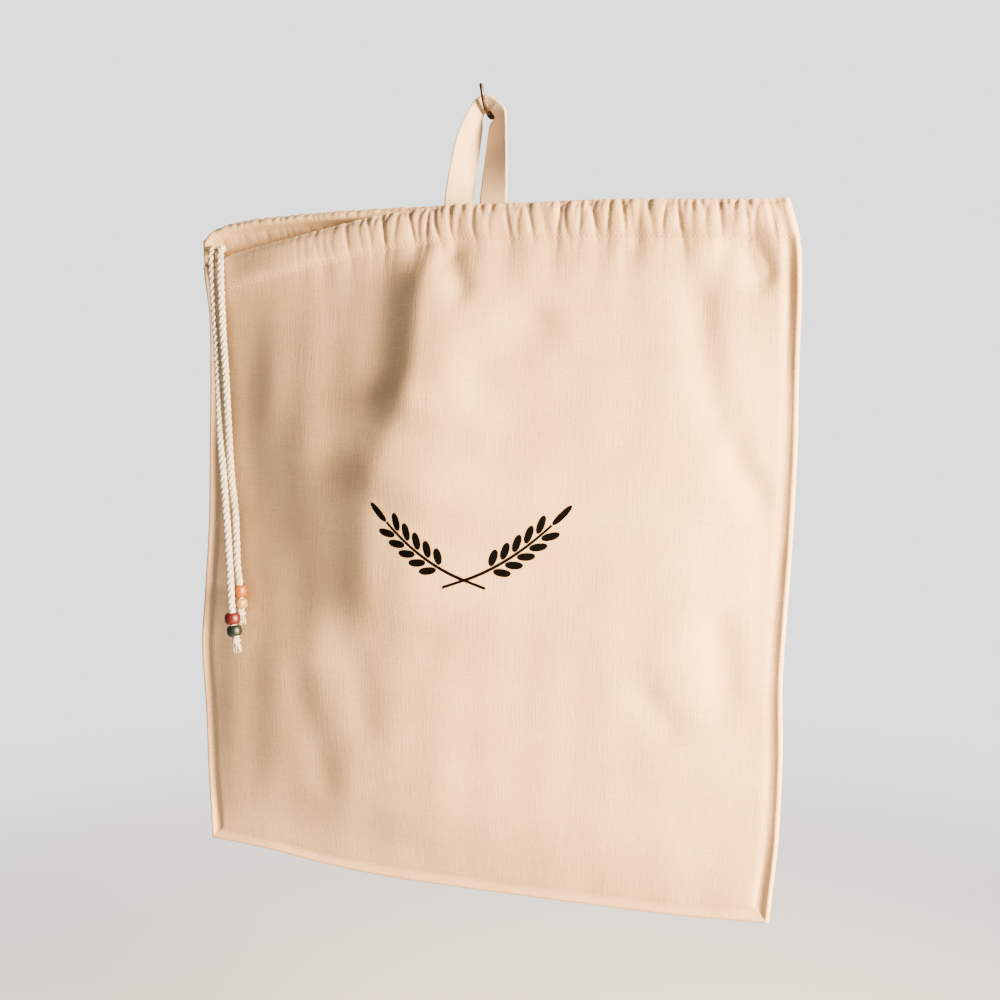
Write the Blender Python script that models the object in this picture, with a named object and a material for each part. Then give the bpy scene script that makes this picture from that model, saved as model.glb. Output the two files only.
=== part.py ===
"""A cloth bread bag that hangs by its tape loop from a small wall hook.

X is to the viewer's right, Y goes into the wall, Z is up. The origin is the
middle of the hook's flat wall face. Sizes are in millimetres and are turned
into metres where a mesh is made.
"""
import math
import random
from collections import namedtuple

import bmesh
import bpy
from mathutils import Vector

MM = 0.001

# Bag cloth, its seams and its gathered casing hem
CLOTH = 1.2
SEAM_WIDTH = 4.0
SEAM_GAP = 1.0
HEM_HEIGHT = 22.0
HEM_THICK = 4.2
COLUMNS = 42
BODY_ROWS = 20
# Where across the bag its panels stand furthest apart
PEAK_AT = 0.44

# Gathers of the casing: how high, how far aside, the least share of the height
# a gather has, how much the rim rises with them, and how they fade at the sides
GATHER_DEPTH = 0.95
GATHER_SHIFT = 0.9
GATHER_LEAST = 0.55
GATHER_RIM_RISE = 0.5
GATHER_SIDE_FADE = 0.03
GATHER_SEED = 7
# The front casing is calmer at its left end, which hangs loose
CALM_GATHER = 0.35
CALM_LEFT_OF = -150.0
CALM_RUN = 60.0
# The back casing is flat where the tape's two ends are sewn on
SEWN_MIDDLE = -10.0
SEWN_HALF = 24.0
SEWN_RUN = 12.0

# Drawstring, beads and knots
CORD_DIAMETER = 4.6
CORD_PLIES = 3
CORD_PLY_DEPTH = 0.55
CORD_TWIST_PITCH = 12.5
CORD_STEPS_PER_TURN = 8
BEAD_BORE = 5.6
BEAD_SIDES = 16
BEAD_ARC_STEPS = 7
BEAD_LIP = 0.5
BEAD_ROUNDNESS = 0.6
BEAD_BORE_REACH = 0.86
KNOT_GAP = 0.48
KNOT_SIDES = 14
KNOT_STRANDS = 7

# Hanging tape and hook wire
TAPE_WIDTH = 17.5
TAPE_THICK = 1.0
TAPE_STEP = 4.0
TAPE_LOOK = 0.01
HOOK_WIRE = 2.2
HOOK_COLLAR = 8.4
HOOK_COLLAR_THICK = 1.2
HOOK_COLLAR_BEVEL = 0.6
HOOK_FILLET = 0.1
HOOK_TIP = 0.72
HOOK_SIDES = 8
HOOK_STEP = 2.2

# Sections of the bag from the mouth down: the side seams, then how far the
# inner faces of the back and front panel stand off the wall where the bag is
# deepest, and how round the panel is across (low is boxy, high is peaked)
Section = namedtuple("Section", "z left_x right_x seam_y back_y front_y round")
SECTIONS = (
    Section(-62, -199.0, 173.5, -14.0, -11.7, -20.0, 0.45),
    Section(-88, -198.6, 180.0, -13.0, -10.5, -21.5, 0.60),
    Section(-116, -197.0, 181.4, -10.5, -8.2, -27.0, 1.00),
    Section(-156, -198.2, 180.6, -9.0, -7.0, -32.0, 1.25),
    Section(-200, -199.8, 180.4, -8.5, -6.5, -35.0, 1.30),
    Section(-252, -202.2, 178.6, -7.5, -6.3, -35.5, 1.35),
    Section(-306, -206.5, 175.6, -8.0, -6.3, -32.5, 1.35),
    Section(-336, -208.3, 174.5, -9.0, -6.3, -29.5, 1.30),
    Section(-376, -207.2, 175.0, -7.5, -6.2, -24.0, 1.20),
    Section(-426, -206.5, 173.3, -6.5, -6.0, -15.5, 1.05),
    Section(-474, -204.7, 169.0, -6.0, -5.5, -6.5, 0.90),
)

# Top edges of the two panels: the front one hangs lower at the left
Edge = namedtuple("Edge", "x back_z front_z")
TOP_EDGE = (
    Edge(-200, -66.5, -84.0),
    Edge(-190, -58.8, -82.0),
    Edge(-170, -54.8, -76.4),
    Edge(-129, -53.3, -70.0),
    Edge(-96, -53.5, -64.7),
    Edge(-74, -53.9, -61.4),
    Edge(-52, -54.6, -59.5),
    Edge(-19, -56.0, -57.8),
    Edge(12, -57.2, -59.7),
    Edge(84, -60.2, -62.4),
    Edge(149, -65.0, -67.0),
    Edge(176, -65.2, -65.2),
)
Bottom = namedtuple("Bottom", "x z")
BOTTOM_EDGE = (
    Bottom(-205, -472.2),
    Bottom(-156, -474.7),
    Bottom(-121, -478.2),
    Bottom(-72, -480.5),
    Bottom(-35, -480.2),
    Bottom(45, -478.4),
    Bottom(118, -476.1),
    Bottom(169, -472.7),
)

# Thickness of the casing down its height, as a share of HEM_THICK over CLOTH
HemRow = namedtuple("HemRow", "down swell")
HEM_ROWS = (
    HemRow(0.0, 0.30),
    HemRow(0.16, 0.82),
    HemRow(0.45, 1.0),
    HemRow(0.76, 0.80),
    HemRow(1.0, 0.06),
)

# Where the casing thins out into the side seams, and over what distance
HemEnd = namedtuple("HemEnd", "left left_run right right_run")
HEM_ENDS = {
    "front": HemEnd(-178.0, 10.0, 176.0, 6.0),
    "back": HemEnd(-199.0, 7.0, 176.0, 6.0),
}

# Folds of the front panel: the line of each crest, its bow to the right, how
# wide it falls away on its left and right side, and its height (a trough is
# negative)
Fold = namedtuple("Fold", "name top_x top_z end_x end_z bow left right height")
FRONT_FOLDS = (
    Fold("upper_ridge", -29, -78, -33, -184, 1, 21, 62, 9.5),
    Fold("shift_ridge", -36, -176, -60, -218, 0, 21, 60, 6.5),
    Fold("lower_ridge", -60, -204, -62, -316, 0, 20, 72, 7.5),
    Fold("sweep_ridge", -172, -108, -96, -312, 18, 15, 15, 3.6),
    Fold("sweep_trough", -172, -186, -110, -330, 6, 16, 16, -3.2),
    Fold("low_trough", -131, -330, -101, -446, 2, 10, 10, -2.4),
    Fold("side_trough", -80, -318, -75, -392, 0, 10, 10, -3.0),
    Fold("loop_pleat", -24, -80, -4, -120, 0, 8, 8, -2.6),
    Fold("slant_trough", 50, -118, -10, -172, 0, 16, 20, -3.2),
    Fold("right_crease", 124, -92, 145, -208, -4, 10, 10, -2.6),
    Fold("seam_crease", 141, -196, 172, -240, -3, 9, 9, -3.4),
    Fold("lower_right_trough", 136, -284, 144, -362, 2, 11, 11, -3.2),
    Fold("lower_right_slant", 92, -332, 120, -372, 0, 10, 10, -2.0),
    Fold("corner_hollow", 146, -80, 168, -118, 0, 11, 11, -3.6),
)
BACK_FOLDS = (
    Fold("back_ridge", -96, -96, -70, -330, 8, 22, 30, 1.6),
    Fold("back_trough", 60, -92, 40, -300, -6, 26, 24, -1.5),
    Fold("back_corner", 120, -100, 150, -230, 0, 20, 20, 1.4),
)
# How a fold fades: along its own line, towards the side seams (as a share of
# the width) and towards the bottom seam
FOLD_FADE = 0.28
FOLD_SIDE_FADE = 0.06
FOLD_LOW_FADE = 60.0

# The tape from its left sewn end over the hook to its right one: its middle,
# how far its front edge is turned (-90 is flat with that edge to the left, 0
# points at the viewer), how far that edge is raised, and how deep it is cupped
TapeRow = namedtuple("TapeRow", "x y z turn tilt cup")
TAPE_ROWS = (
    TapeRow(-21.6, -5.3, -78.5, -90, 0, 0.0),
    TapeRow(-21.2, -5.3, -66.0, -90, 0, 0.0),
    TapeRow(-20.6, -5.6, -54.0, -78, 0, 0.0),
    TapeRow(-16.8, -7.8, -36.5, -52, 0, 0.0),
    TapeRow(-12.4, -9.8, -19.5, -38, 0, 0.5),
    TapeRow(-7.7, -10.4, -9.4, -22, 4, 2.0),
    TapeRow(-3.5, -10.2, -2.9, -5, 9, 4.6),
    TapeRow(0.0, -9.8, -0.7, 0, 12, 5.4),
    TapeRow(4.2, -9.8, -2.6, 28, 8, 4.2),
    TapeRow(6.6, -9.2, -8.0, 50, 3, 1.2),
    TapeRow(5.4, -7.9, -21.0, 61, 0, 0.0),
    TapeRow(3.8, -6.8, -36.0, 73, 0, 0.0),
    TapeRow(1.9, -5.6, -54.5, 87, 0, 0.0),
    TapeRow(1.5, -5.3, -66.0, 90, 0, 0.0),
    TapeRow(1.4, -5.3, -78.5, 90, 0, 0.0),
)
TAPE_ACROSS = (-0.5, -0.25, 0.0, 0.25, 0.5)

# Middle line of the hook wire, in the plane that stands off the wall
WirePoint = namedtuple("WirePoint", "y z")
HOOK_WIRE_ROUTE = (
    WirePoint(-2.0, 0.0),
    WirePoint(-4.0, -0.8),
    WirePoint(-6.6, -2.4),
    WirePoint(-9.6, -3.1),
    WirePoint(-12.6, -2.4),
    WirePoint(-15.2, -0.4),
    WirePoint(-17.3, 2.6),
    WirePoint(-18.7, 5.4),
    WirePoint(-19.9, 7.8),
    WirePoint(-21.2, 9.9),
)

# Routes of the two cord ends, from the casing down to the end in the knot
CORD_LEFT_ROUTE = (
    (-190.3, -13.8, -71.5),
    (-189.2, -17.6, -73.2),
    (-187.8, -21.2, -78.0),
    (-187.0, -22.0, -86.0),
    (-186.4, -22.2, -100.0),
    (-185.8, -22.2, -114.0),
    (-184.6, -22.2, -132.0),
    (-183.6, -22.2, -152.0),
    (-182.8, -22.6, -172.0),
    (-181.4, -23.8, -196.0),
    (-177.8, -26.2, -222.0),
    (-174.4, -29.0, -242.0),
    (-171.4, -31.4, -262.0),
    (-169.4, -32.8, -284.0),
    (-168.2, -33.4, -302.0),
    (-167.4, -33.6, -312.6),
    (-166.2, -33.6, -320.4),
    (-165.2, -33.6, -325.0),
)
CORD_RIGHT_ROUTE = (
    (-183.4, -14.0, -71.8),
    (-182.4, -17.8, -73.4),
    (-181.0, -21.2, -78.2),
    (-180.3, -22.4, -86.0),
    (-179.8, -22.9, -100.0),
    (-179.2, -23.0, -116.0),
    (-178.4, -23.0, -134.0),
    (-177.2, -23.0, -154.0),
    (-176.2, -23.0, -176.0),
    (-175.4, -22.8, -198.0),
    (-174.0, -22.8, -222.0),
    (-171.4, -23.0, -244.0),
    (-170.6, -23.4, -262.0),
    (-169.8, -24.0, -278.0),
    (-168.0, -24.6, -290.0),
    (-167.2, -24.8, -299.0),
    (-166.6, -24.8, -308.4),
)

# Beads: which cord, how far up from the cord's end the bead's middle lies
Bead = namedtuple("Bead", "name cord from_end diameter height colour")
BEADS = (
    Bead("bead_red", "cord_left", 12.4, 10.2, 7.6, (0.33, 0.010, 0.022)),
    Bead("bead_green", "cord_left", 4.4, 9.8, 7.2, (0.006, 0.045, 0.024)),
    Bead("bead_orange", "cord_right", 12.2, 9.6, 8.2, (0.85, 0.24, 0.018)),
    Bead("bead_natural", "cord_right", 4.2, 8.8, 6.6, (0.60, 0.42, 0.20)),
)

# Knot with its frayed tuft, down from the cord's end: radius and lobe depth
KnotRow = namedtuple("KnotRow", "down radius lobe")
KNOT_ROWS = (
    KnotRow(0.0, 1.5, 0.0),
    KnotRow(0.6, 2.7, 0.1),
    KnotRow(2.0, 3.1, 0.3),
    KnotRow(3.4, 2.4, 0.3),
    KnotRow(5.2, 2.6, 0.4),
    KnotRow(7.2, 2.8, 0.6),
    KnotRow(8.8, 2.7, 0.7),
)

COTTON = (0.72, 0.57, 0.42)
CORD_WHITE = (0.86, 0.80, 0.69)
TAPE_WHITE = (0.80, 0.68, 0.54)
BRASS = (0.42, 0.27, 0.12)


def make_material(name, colour, roughness, metallic=0.0):
    """A plain Principled material."""
    material = bpy.data.materials.new(name)
    material.use_nodes = True
    shader = material.node_tree.nodes["Principled BSDF"]
    shader.inputs["Base Color"].default_value = (*colour, 1.0)
    shader.inputs["Roughness"].default_value = roughness
    shader.inputs["Metallic"].default_value = metallic
    return material


def make_object(name, points, faces, material, smooth_below=50.0):
    """One closed mesh object from points in millimetres."""
    mesh = bpy.data.meshes.new(name)
    mesh.from_pydata([Vector(point) * MM for point in points], [], faces)
    work = bmesh.new()
    work.from_mesh(mesh)
    bmesh.ops.triangulate(work, faces=work.faces)
    bmesh.ops.recalc_face_normals(work, faces=work.faces)
    work.to_mesh(mesh)
    work.free()
    mesh.shade_smooth()
    mesh.set_sharp_from_angle(angle=math.radians(smooth_below))
    mesh.materials.append(material)
    thing = bpy.data.objects.new(name, mesh)
    bpy.context.scene.collection.objects.link(thing)
    return thing


def mix(low, high, share):
    return low + (high - low) * share


def ease(share):
    """A smooth step from 0 to 1."""
    share = min(max(share, 0.0), 1.0)
    return share * share * (3.0 - 2.0 * share)


def hermite(p0, p1, p2, p3, t0, t1, t2, t3, at):
    """Smooth value at 'at' between t1 and t2, through four known values."""
    span = t2 - t1
    share = (at - t1) / span
    slope1 = (p2 - p0) / (t2 - t0) * span
    slope2 = (p3 - p1) / (t3 - t1) * span
    a = share * share
    b = a * share
    value = (2 * b - 3 * a + 1) * p1 + (b - 2 * a + share) * slope1
    return value + (3 * a - 2 * b) * p2 + (b - a) * slope2


def read_table(rows, key, column, at):
    """A column of a table at a key value, smoothly between its rows."""
    keys = [getattr(row, key) for row in rows]
    values = [getattr(row, column) for row in rows]
    if keys[0] > keys[-1]:
        keys = [-value for value in keys]
        at = -at
    if at <= keys[0]:
        return values[0]
    if at >= keys[-1]:
        return values[-1]
    k = next(index for index in range(len(keys) - 1) if at <= keys[index + 1])
    before = max(k - 1, 0)
    after = min(k + 2, len(keys) - 1)
    t0 = keys[before] if before < k else keys[k] - (keys[k + 1] - keys[k])
    t3 = keys[after] if after > k + 1 else keys[k + 1] + (keys[k + 1] - keys[k])
    return hermite(values[before], values[k], values[k + 1], values[after],
                   t0, keys[k], keys[k + 1], t3, at)


def smooth_line(points, step):
    """Evenly spaced points on one smooth curve through the given ones."""
    points = [Vector(point) for point in points]
    fine = []
    parts = 12
    for k in range(len(points) - 1):
        before = points[max(k - 1, 0)]
        after = points[min(k + 2, len(points) - 1)]
        for part in range(parts):
            fine.append(hermite(before, points[k], points[k + 1], after,
                                -1.0, 0.0, 1.0, 2.0, part / parts))
    fine.append(points[-1])
    lengths = [0.0]
    for k in range(1, len(fine)):
        lengths.append(lengths[-1] + (fine[k] - fine[k - 1]).length)
    count = max(int(round(lengths[-1] / step)), 1)
    line = []
    k = 0
    for number in range(count + 1):
        target = lengths[-1] * number / count
        while k < len(fine) - 2 and lengths[k + 1] < target:
            k += 1
        span = lengths[k + 1] - lengths[k]
        line.append(fine[k].lerp(fine[k + 1], (target - lengths[k]) / span))
    return line


def line_frames(line):
    """Direction, side and up vectors along a line, carried without twist."""
    frames = []
    side = None
    for k, point in enumerate(line):
        ahead = line[min(k + 1, len(line) - 1)]
        behind = line[max(k - 1, 0)]
        along = (ahead - behind).normalized()
        if side is None:
            side = along.cross(Vector((0.0, 0.0, 1.0)))
            if side.length < 0.1:
                side = along.cross(Vector((1.0, 0.0, 0.0)))
        side = (side - along * side.dot(along)).normalized()
        frames.append((point, along, side, along.cross(side)))
    return frames


def close_rings(rings):
    """Faces over equal rings of points, with a flat cap at each end."""
    points = [point for ring in rings for point in ring]
    count = len(rings[0])
    faces = []
    for k in range(len(rings) - 1):
        for s in range(count):
            a = k * count + s
            b = k * count + (s + 1) % count
            faces.append((a, b, b + count, a + count))
    faces.append(tuple(range(count)))
    faces.append(tuple(range(len(points) - count, len(points))))
    return points, faces


def fold_height(folds, x, z):
    """How far all the folds together lift the cloth at a place."""
    total = 0.0
    for fold in folds:
        run_x = fold.end_x - fold.top_x
        run_z = fold.end_z - fold.top_z
        length = math.hypot(run_x, run_z)
        from_x = x - fold.top_x
        from_z = z - fold.top_z
        share = (from_x * run_x + from_z * run_z) / length ** 2
        if not 0.0 < share < 1.0:
            continue
        aside = (from_x * -run_z + from_z * run_x) / length
        aside -= fold.bow * math.sin(math.pi * share)
        reach = fold.left if aside < 0.0 else fold.right
        fade = ease(share / FOLD_FADE) * ease((1.0 - share) / FOLD_FADE)
        total += fold.height * fade * math.exp(-(aside / reach) ** 2)
    return total


def column_shares():
    """Where the columns of the bag's grid stand across it, from 0 to 1."""
    width = SECTIONS[4].right_x - SECTIONS[4].left_x
    rim = SEAM_WIDTH / width
    inner = [rim + (1.0 - 2.0 * rim) * k / (COLUMNS - 2) for k in range(COLUMNS - 1)]
    return [0.0] + inner + [1.0]


def column_ends(share, side):
    """Height of a column's top and bottom end on one panel."""
    top_x = mix(SECTIONS[0].left_x, SECTIONS[0].right_x, share)
    low_x = mix(SECTIONS[-1].left_x, SECTIONS[-1].right_x, share)
    column = "front_z" if side == "front" else "back_z"
    top = read_table(TOP_EDGE, "x", column, top_x)
    return top, read_table(BOTTOM_EDGE, "x", "z", low_x)


def inner_face(share, z, side):
    """Point on the inner face of a panel."""
    left = read_table(SECTIONS, "z", "left_x", z)
    right = read_table(SECTIONS, "z", "right_x", z)
    x = mix(left, right, share)
    seam = read_table(SECTIONS, "z", "seam_y", z)
    power = read_table(SECTIONS, "z", "round", z)
    turned = share ** (math.log(0.5) / math.log(PEAK_AT))
    crown = max(math.sin(math.pi * turned), 0.0) ** power
    from_side = ease(min(share, 1.0 - share) / FOLD_SIDE_FADE)
    bottom = read_table(BOTTOM_EDGE, "x", "z", x)
    from_low = ease((z - bottom) / FOLD_LOW_FADE)
    mask = from_side * from_low
    if side == "front":
        deep = read_table(SECTIONS, "z", "front_y", z)
        y = mix(seam - SEAM_GAP / 2, min(deep, seam - SEAM_GAP / 2), crown)
        y -= fold_height(FRONT_FOLDS, x, z) * mask
    else:
        deep = read_table(SECTIONS, "z", "back_y", z)
        y = mix(seam + SEAM_GAP / 2, max(deep, seam + SEAM_GAP / 2), crown)
        y -= fold_height(BACK_FOLDS, x, z) * mask
    return Vector((x, y, z))


def hem_fullness(x, side):
    """How full the casing is: it thins out towards the side seams."""
    end = HEM_ENDS[side]
    return ease((x - end.left) / end.left_run) * ease((end.right - x) / end.right_run)


def gather_strength(x, side):
    """How strongly the casing is gathered: flat where the tape is sewn on."""
    if side == "front":
        return mix(CALM_GATHER, 1.0, ease((x - CALM_LEFT_OF) / CALM_RUN))
    return ease((abs(x - SEWN_MIDDLE) - SEWN_HALF) / SEWN_RUN)


def build_bag():
    """Both panels, their seams and the casing hem as one cloth shell."""
    shares = column_shares()
    last = len(shares) - 1
    chance = random.Random(GATHER_SEED)
    points = []
    faces = []

    def add(point):
        points.append(point)
        return len(points) - 1

    def body_height(share, side, row):
        top, low = column_ends(share, side)
        start = top - HEM_HEIGHT
        flange = SEAM_WIDTH if row < BODY_ROWS else 0.0
        steps = BODY_ROWS - 1 if row < BODY_ROWS else BODY_ROWS
        return mix(start, low + flange, row / steps)

    outer = {}
    inner = {}
    hem = {}
    for side, outward in (("front", -1.0), ("back", 1.0)):
        inner_rows = []
        outer_rows = []
        for row in range(BODY_ROWS + 1):
            outer_row = []
            inner_row = []
            for k, share in enumerate(shares):
                z = body_height(share, side, row)
                place = inner_face(share, z, side)
                seam = read_table(SECTIONS, "z", "seam_y", z)
                if k in (0, last) or row == BODY_ROWS:
                    place.y = seam + outward * CLOTH
                    outer_row.append(add(place))
                    inner_row.append(None)
                else:
                    outer_row.append(add(place + Vector((0.0, outward * CLOTH, 0.0))))
                    inner_row.append(add(place))
            outer_rows.append(outer_row)
            inner_rows.append(inner_row)
        mouth = [None]
        for share in shares[1:-1]:
            top = column_ends(share, side)[0]
            mouth.append(add(inner_face(share, top, side)))
        inner_rows.insert(0, mouth + [None])

        double = []
        for k in range(last):
            double += [shares[k], (shares[k] + shares[k + 1]) / 2.0]
        double.append(shares[last])
        lifts = []
        for k in range(len(double)):
            swing = 1.0 if k % 2 else -1.0
            lifts.append(swing * chance.uniform(GATHER_LEAST, 1.0) * GATHER_DEPTH)
        shifts = [chance.uniform(-GATHER_SHIFT, GATHER_SHIFT) for share in double]
        hem_rows = []
        for row in HEM_ROWS[:-1]:
            hem_row = []
            for k, share in enumerate(double):
                top = column_ends(share, side)[0]
                z = top - HEM_HEIGHT * row.down
                place = inner_face(share, z, side)
                seam = read_table(SECTIONS, "z", "seam_y", z)
                if k in (0, len(double) - 1):
                    place.y = seam + outward * CLOTH
                else:
                    full = hem_fullness(place.x, side)
                    lift = lifts[k] * gather_strength(place.x, side) * full
                    thick = CLOTH + HEM_THICK * row.swell * full
                    edge = ease(min(share, 1.0 - share) / GATHER_SIDE_FADE)
                    place.y += outward * (thick + lift * row.swell)
                    place.x += shifts[k] * edge * row.swell
                    place.z += GATHER_RIM_RISE * lift * (1.0 - row.down)
                hem_row.append(add(place))
            hem_rows.append(hem_row)
        outer[side] = outer_rows
        inner[side] = inner_rows
        hem[side] = hem_rows

    def stitch(fine, coarse):
        for k in range(len(coarse) - 1):
            a, b, c = fine[2 * k], fine[2 * k + 1], fine[2 * k + 2]
            d, e = coarse[k], coarse[k + 1]
            faces.extend(((a, d, b), (b, d, e), (b, e, c)))

    def grid(rows, first, count):
        for upper, lower in zip(rows, rows[1:]):
            for k in range(first, first + count):
                faces.append((upper[k], upper[k + 1], lower[k + 1], lower[k]))

    for side in ("front", "back"):
        grid(outer[side], 0, last)
        grid(inner[side][:-1], 1, last - 2)
        grid(hem[side], 0, 2 * last)
        stitch(hem[side][-1], outer[side][0])
        stitch(hem[side][0][2:-2], inner[side][0][1:-1])

    def join(front_line, back_line):
        for k in range(len(front_line) - 1):
            faces.append((front_line[k], front_line[k + 1], back_line[k + 1], back_line[k]))

    for end, near in ((0, 1), (-1, -2)):
        rim = {side: [row[end] for row in hem[side] + outer[side]] for side in outer}
        join(rim["front"], rim["back"])
        fold = {side: [row[near] for row in inner[side][:-1]] for side in inner}
        join(fold["front"], fold["back"])
        steps = (0, 1, 2) if end == 0 else (-1, -2, -3)
        front = [hem["front"][0][k] for k in steps]
        back = [hem["back"][0][k] for k in steps]
        in_front = inner["front"][0][near]
        in_back = inner["back"][0][near]
        faces.append((front[0], front[1], back[1], back[0]))
        faces.append((front[1], front[2], in_front, in_back, back[2], back[1]))
    join(outer["front"][-1], outer["back"][-1])
    join(inner["front"][-2][1:-1], inner["back"][-2][1:-1])
    material = make_material("unbleached_cotton", COTTON, 0.9)
    return make_object("bread_bag", points, faces, material)


def build_tape():
    """The sewn tape that goes over the hook, cupped where the wire holds it."""
    last = len(TAPE_ROWS) - 1
    middles = [Vector((row.x, row.y, row.z)) for row in TAPE_ROWS]
    length = sum((b - a).length for a, b in zip(middles, middles[1:]))
    count = int(round(length / TAPE_STEP))
    Station = namedtuple("Station", "share x y z turn tilt cup")
    table = [Station(k / last, *row) for k, row in enumerate(TAPE_ROWS)]
    rings = []
    for number in range(count + 1):
        share = number / count
        values = {name: read_table(table, "share", name, share) for name in TapeRow._fields}
        later = min(share + TAPE_LOOK, 1.0)
        sooner = max(share - TAPE_LOOK, 0.0)
        ahead = [read_table(table, "share", axis, later) for axis in "xyz"]
        behind = [read_table(table, "share", axis, sooner) for axis in "xyz"]
        along = (Vector(ahead) - Vector(behind)).normalized()
        turn = math.radians(values["turn"])
        tilt = math.radians(values["tilt"])
        edge = Vector((math.sin(turn) * math.cos(tilt), -math.cos(turn) * math.cos(tilt),
                       math.sin(tilt)))
        edge = (edge - along * edge.dot(along)).normalized()
        face = along.cross(edge)
        cup = max(values["cup"], 0.0)
        # A cupped tape spans less than its width: the chord of a shallow arc
        chord = TAPE_WIDTH - 8.0 / 3.0 * cup ** 2 / TAPE_WIDTH
        middle = Vector((values["x"], values["y"], values["z"]))
        upper = []
        lower = []
        for across in TAPE_ACROSS:
            spot = middle + edge * across * chord - face * cup * (2.0 * across) ** 2
            upper.append(spot - face * TAPE_THICK / 2.0)
            lower.append(spot + face * TAPE_THICK / 2.0)
        rings.append(upper + lower[::-1])
    points, faces = close_rings(rings)
    material = make_material("cotton_tape", TAPE_WHITE, 0.88)
    return make_object("hanging_loop", points, faces, material)


def build_hook():
    """A round collar with a flat wall face, and the bent wire that leaves it."""
    route = [(0.0, point.y, point.z) for point in HOOK_WIRE_ROUTE]
    line = smooth_line(route, HOOK_STEP)
    collar = HOOK_COLLAR / 2.0
    wire = HOOK_WIRE / 2.0
    stations = [
        (Vector((0.0, 0.0, 0.0)), collar),
        (Vector((0.0, HOOK_COLLAR_BEVEL - HOOK_COLLAR_THICK, 0.0)), collar),
        (Vector((0.0, -HOOK_COLLAR_THICK, 0.0)), collar - HOOK_COLLAR_BEVEL),
        (Vector((0.0, -HOOK_COLLAR_THICK - HOOK_FILLET, 0.0)), wire + HOOK_FILLET),
    ]
    rings = []
    for middle, radius in stations:
        ring = []
        for s in range(HOOK_SIDES):
            angle = 2.0 * math.pi * s / HOOK_SIDES
            ring.append(middle + Vector((math.cos(angle), 0.0, -math.sin(angle))) * radius)
        rings.append(ring)
    for number, point in enumerate(line):
        ahead = line[min(number + 1, len(line) - 1)]
        behind = line[max(number - 1, 0)]
        along = (ahead - behind).normalized()
        side = Vector((1.0, 0.0, 0.0))
        up = side.cross(along)
        radius = wire * (HOOK_TIP if number == len(line) - 1 else 1.0)
        ring = []
        for s in range(HOOK_SIDES):
            angle = 2.0 * math.pi * s / HOOK_SIDES
            ring.append(point + side * math.cos(angle) * radius + up * math.sin(angle) * radius)
        rings.append(ring)
    points, faces = close_rings(rings)
    return make_object("hook", points, faces, make_material("hook_brass", BRASS, 0.35, 0.9))


def build_cord(name, route, material):
    """A twisted cord end: a lobed section that turns along its route."""
    line = smooth_line(route, CORD_TWIST_PITCH / CORD_STEPS_PER_TURN)
    turn_step = 2.0 * math.pi / CORD_STEPS_PER_TURN
    count = 2 * CORD_PLIES
    rings = []
    for number, (point, along, side, up) in enumerate(line_frames(line)):
        ring = []
        for s in range(count):
            angle = 2.0 * math.pi * s / count + number * turn_step
            radius = CORD_DIAMETER / 2.0 - (CORD_PLY_DEPTH if s % 2 else 0.0)
            ring.append(point + (side * math.cos(angle) + up * math.sin(angle)) * radius)
        rings.append(ring)
    points, faces = close_rings(rings)
    return make_object(name, points, faces, material, smooth_below=80.0)


def line_at(line, from_end):
    """Place and direction on a line, a distance up from its last point."""
    left = from_end
    for k in range(len(line) - 1, 0, -1):
        step = (line[k] - line[k - 1]).length
        if left <= step:
            return line[k].lerp(line[k - 1], left / step), (line[k] - line[k - 1]).normalized()
        left -= step
    return line[0], (line[1] - line[0]).normalized()


def turned_rings(profile, middle, along, sides):
    """Rings of a turned shape, from (down, radius) pairs along a direction."""
    side = along.cross(Vector((0.0, 1.0, 0.0))).normalized()
    up = along.cross(side)
    rings = []
    for down, radius in profile:
        ring = []
        for s in range(sides):
            angle = 2.0 * math.pi * s / sides
            around = side * math.cos(angle) + up * math.sin(angle)
            ring.append(middle + along * down + around * radius)
        rings.append(ring)
    return rings


def build_bead(bead, line):
    """A turned wooden bead, drilled for the cord."""
    middle, along = line_at(line, bead.from_end)
    half = bead.height / 2.0
    bore = BEAD_BORE / 2.0
    lip = bore + BEAD_LIP
    belly = bead.diameter / 2.0
    profile = []
    for k in range(BEAD_ARC_STEPS):
        angle = math.pi * (k / (BEAD_ARC_STEPS - 1) - 0.5)
        bulge = max(math.cos(angle), 0.0) ** BEAD_ROUNDNESS
        profile.append((half * math.sin(angle), mix(lip, belly, bulge)))
    profile.append((half * BEAD_BORE_REACH, bore))
    profile.append((-half * BEAD_BORE_REACH, bore))
    rings = turned_rings(profile, middle, along, BEAD_SIDES)
    points = [point for ring in rings for point in ring]
    faces = []
    for k in range(len(rings)):
        follow = (k + 1) % len(rings)
        for s in range(BEAD_SIDES):
            t = (s + 1) % BEAD_SIDES
            faces.append((k * BEAD_SIDES + s, k * BEAD_SIDES + t,
                          follow * BEAD_SIDES + t, follow * BEAD_SIDES + s))
    material = make_material(bead.name + "_wood", bead.colour, 0.4)
    return make_object(bead.name, points, faces, material)


def build_knot(name, line, material):
    """The stopper knot and the frayed strands under it, as one lump."""
    end, along = line_at(line, 0.0)
    along = (along + Vector((0.0, 0.0, -1.0))).normalized()
    start = end + along * KNOT_GAP
    side = along.cross(Vector((0.0, 1.0, 0.0))).normalized()
    up = along.cross(side)
    rings = []
    for row in KNOT_ROWS:
        ring = []
        for s in range(KNOT_SIDES):
            angle = 2.0 * math.pi * s / KNOT_SIDES
            radius = row.radius + row.lobe * math.cos(KNOT_STRANDS * angle)
            around = side * math.cos(angle) + up * math.sin(angle)
            ring.append(start + along * row.down + around * radius)
        rings.append(ring)
    points, faces = close_rings(rings)
    return make_object(name, points, faces, material)


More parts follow.
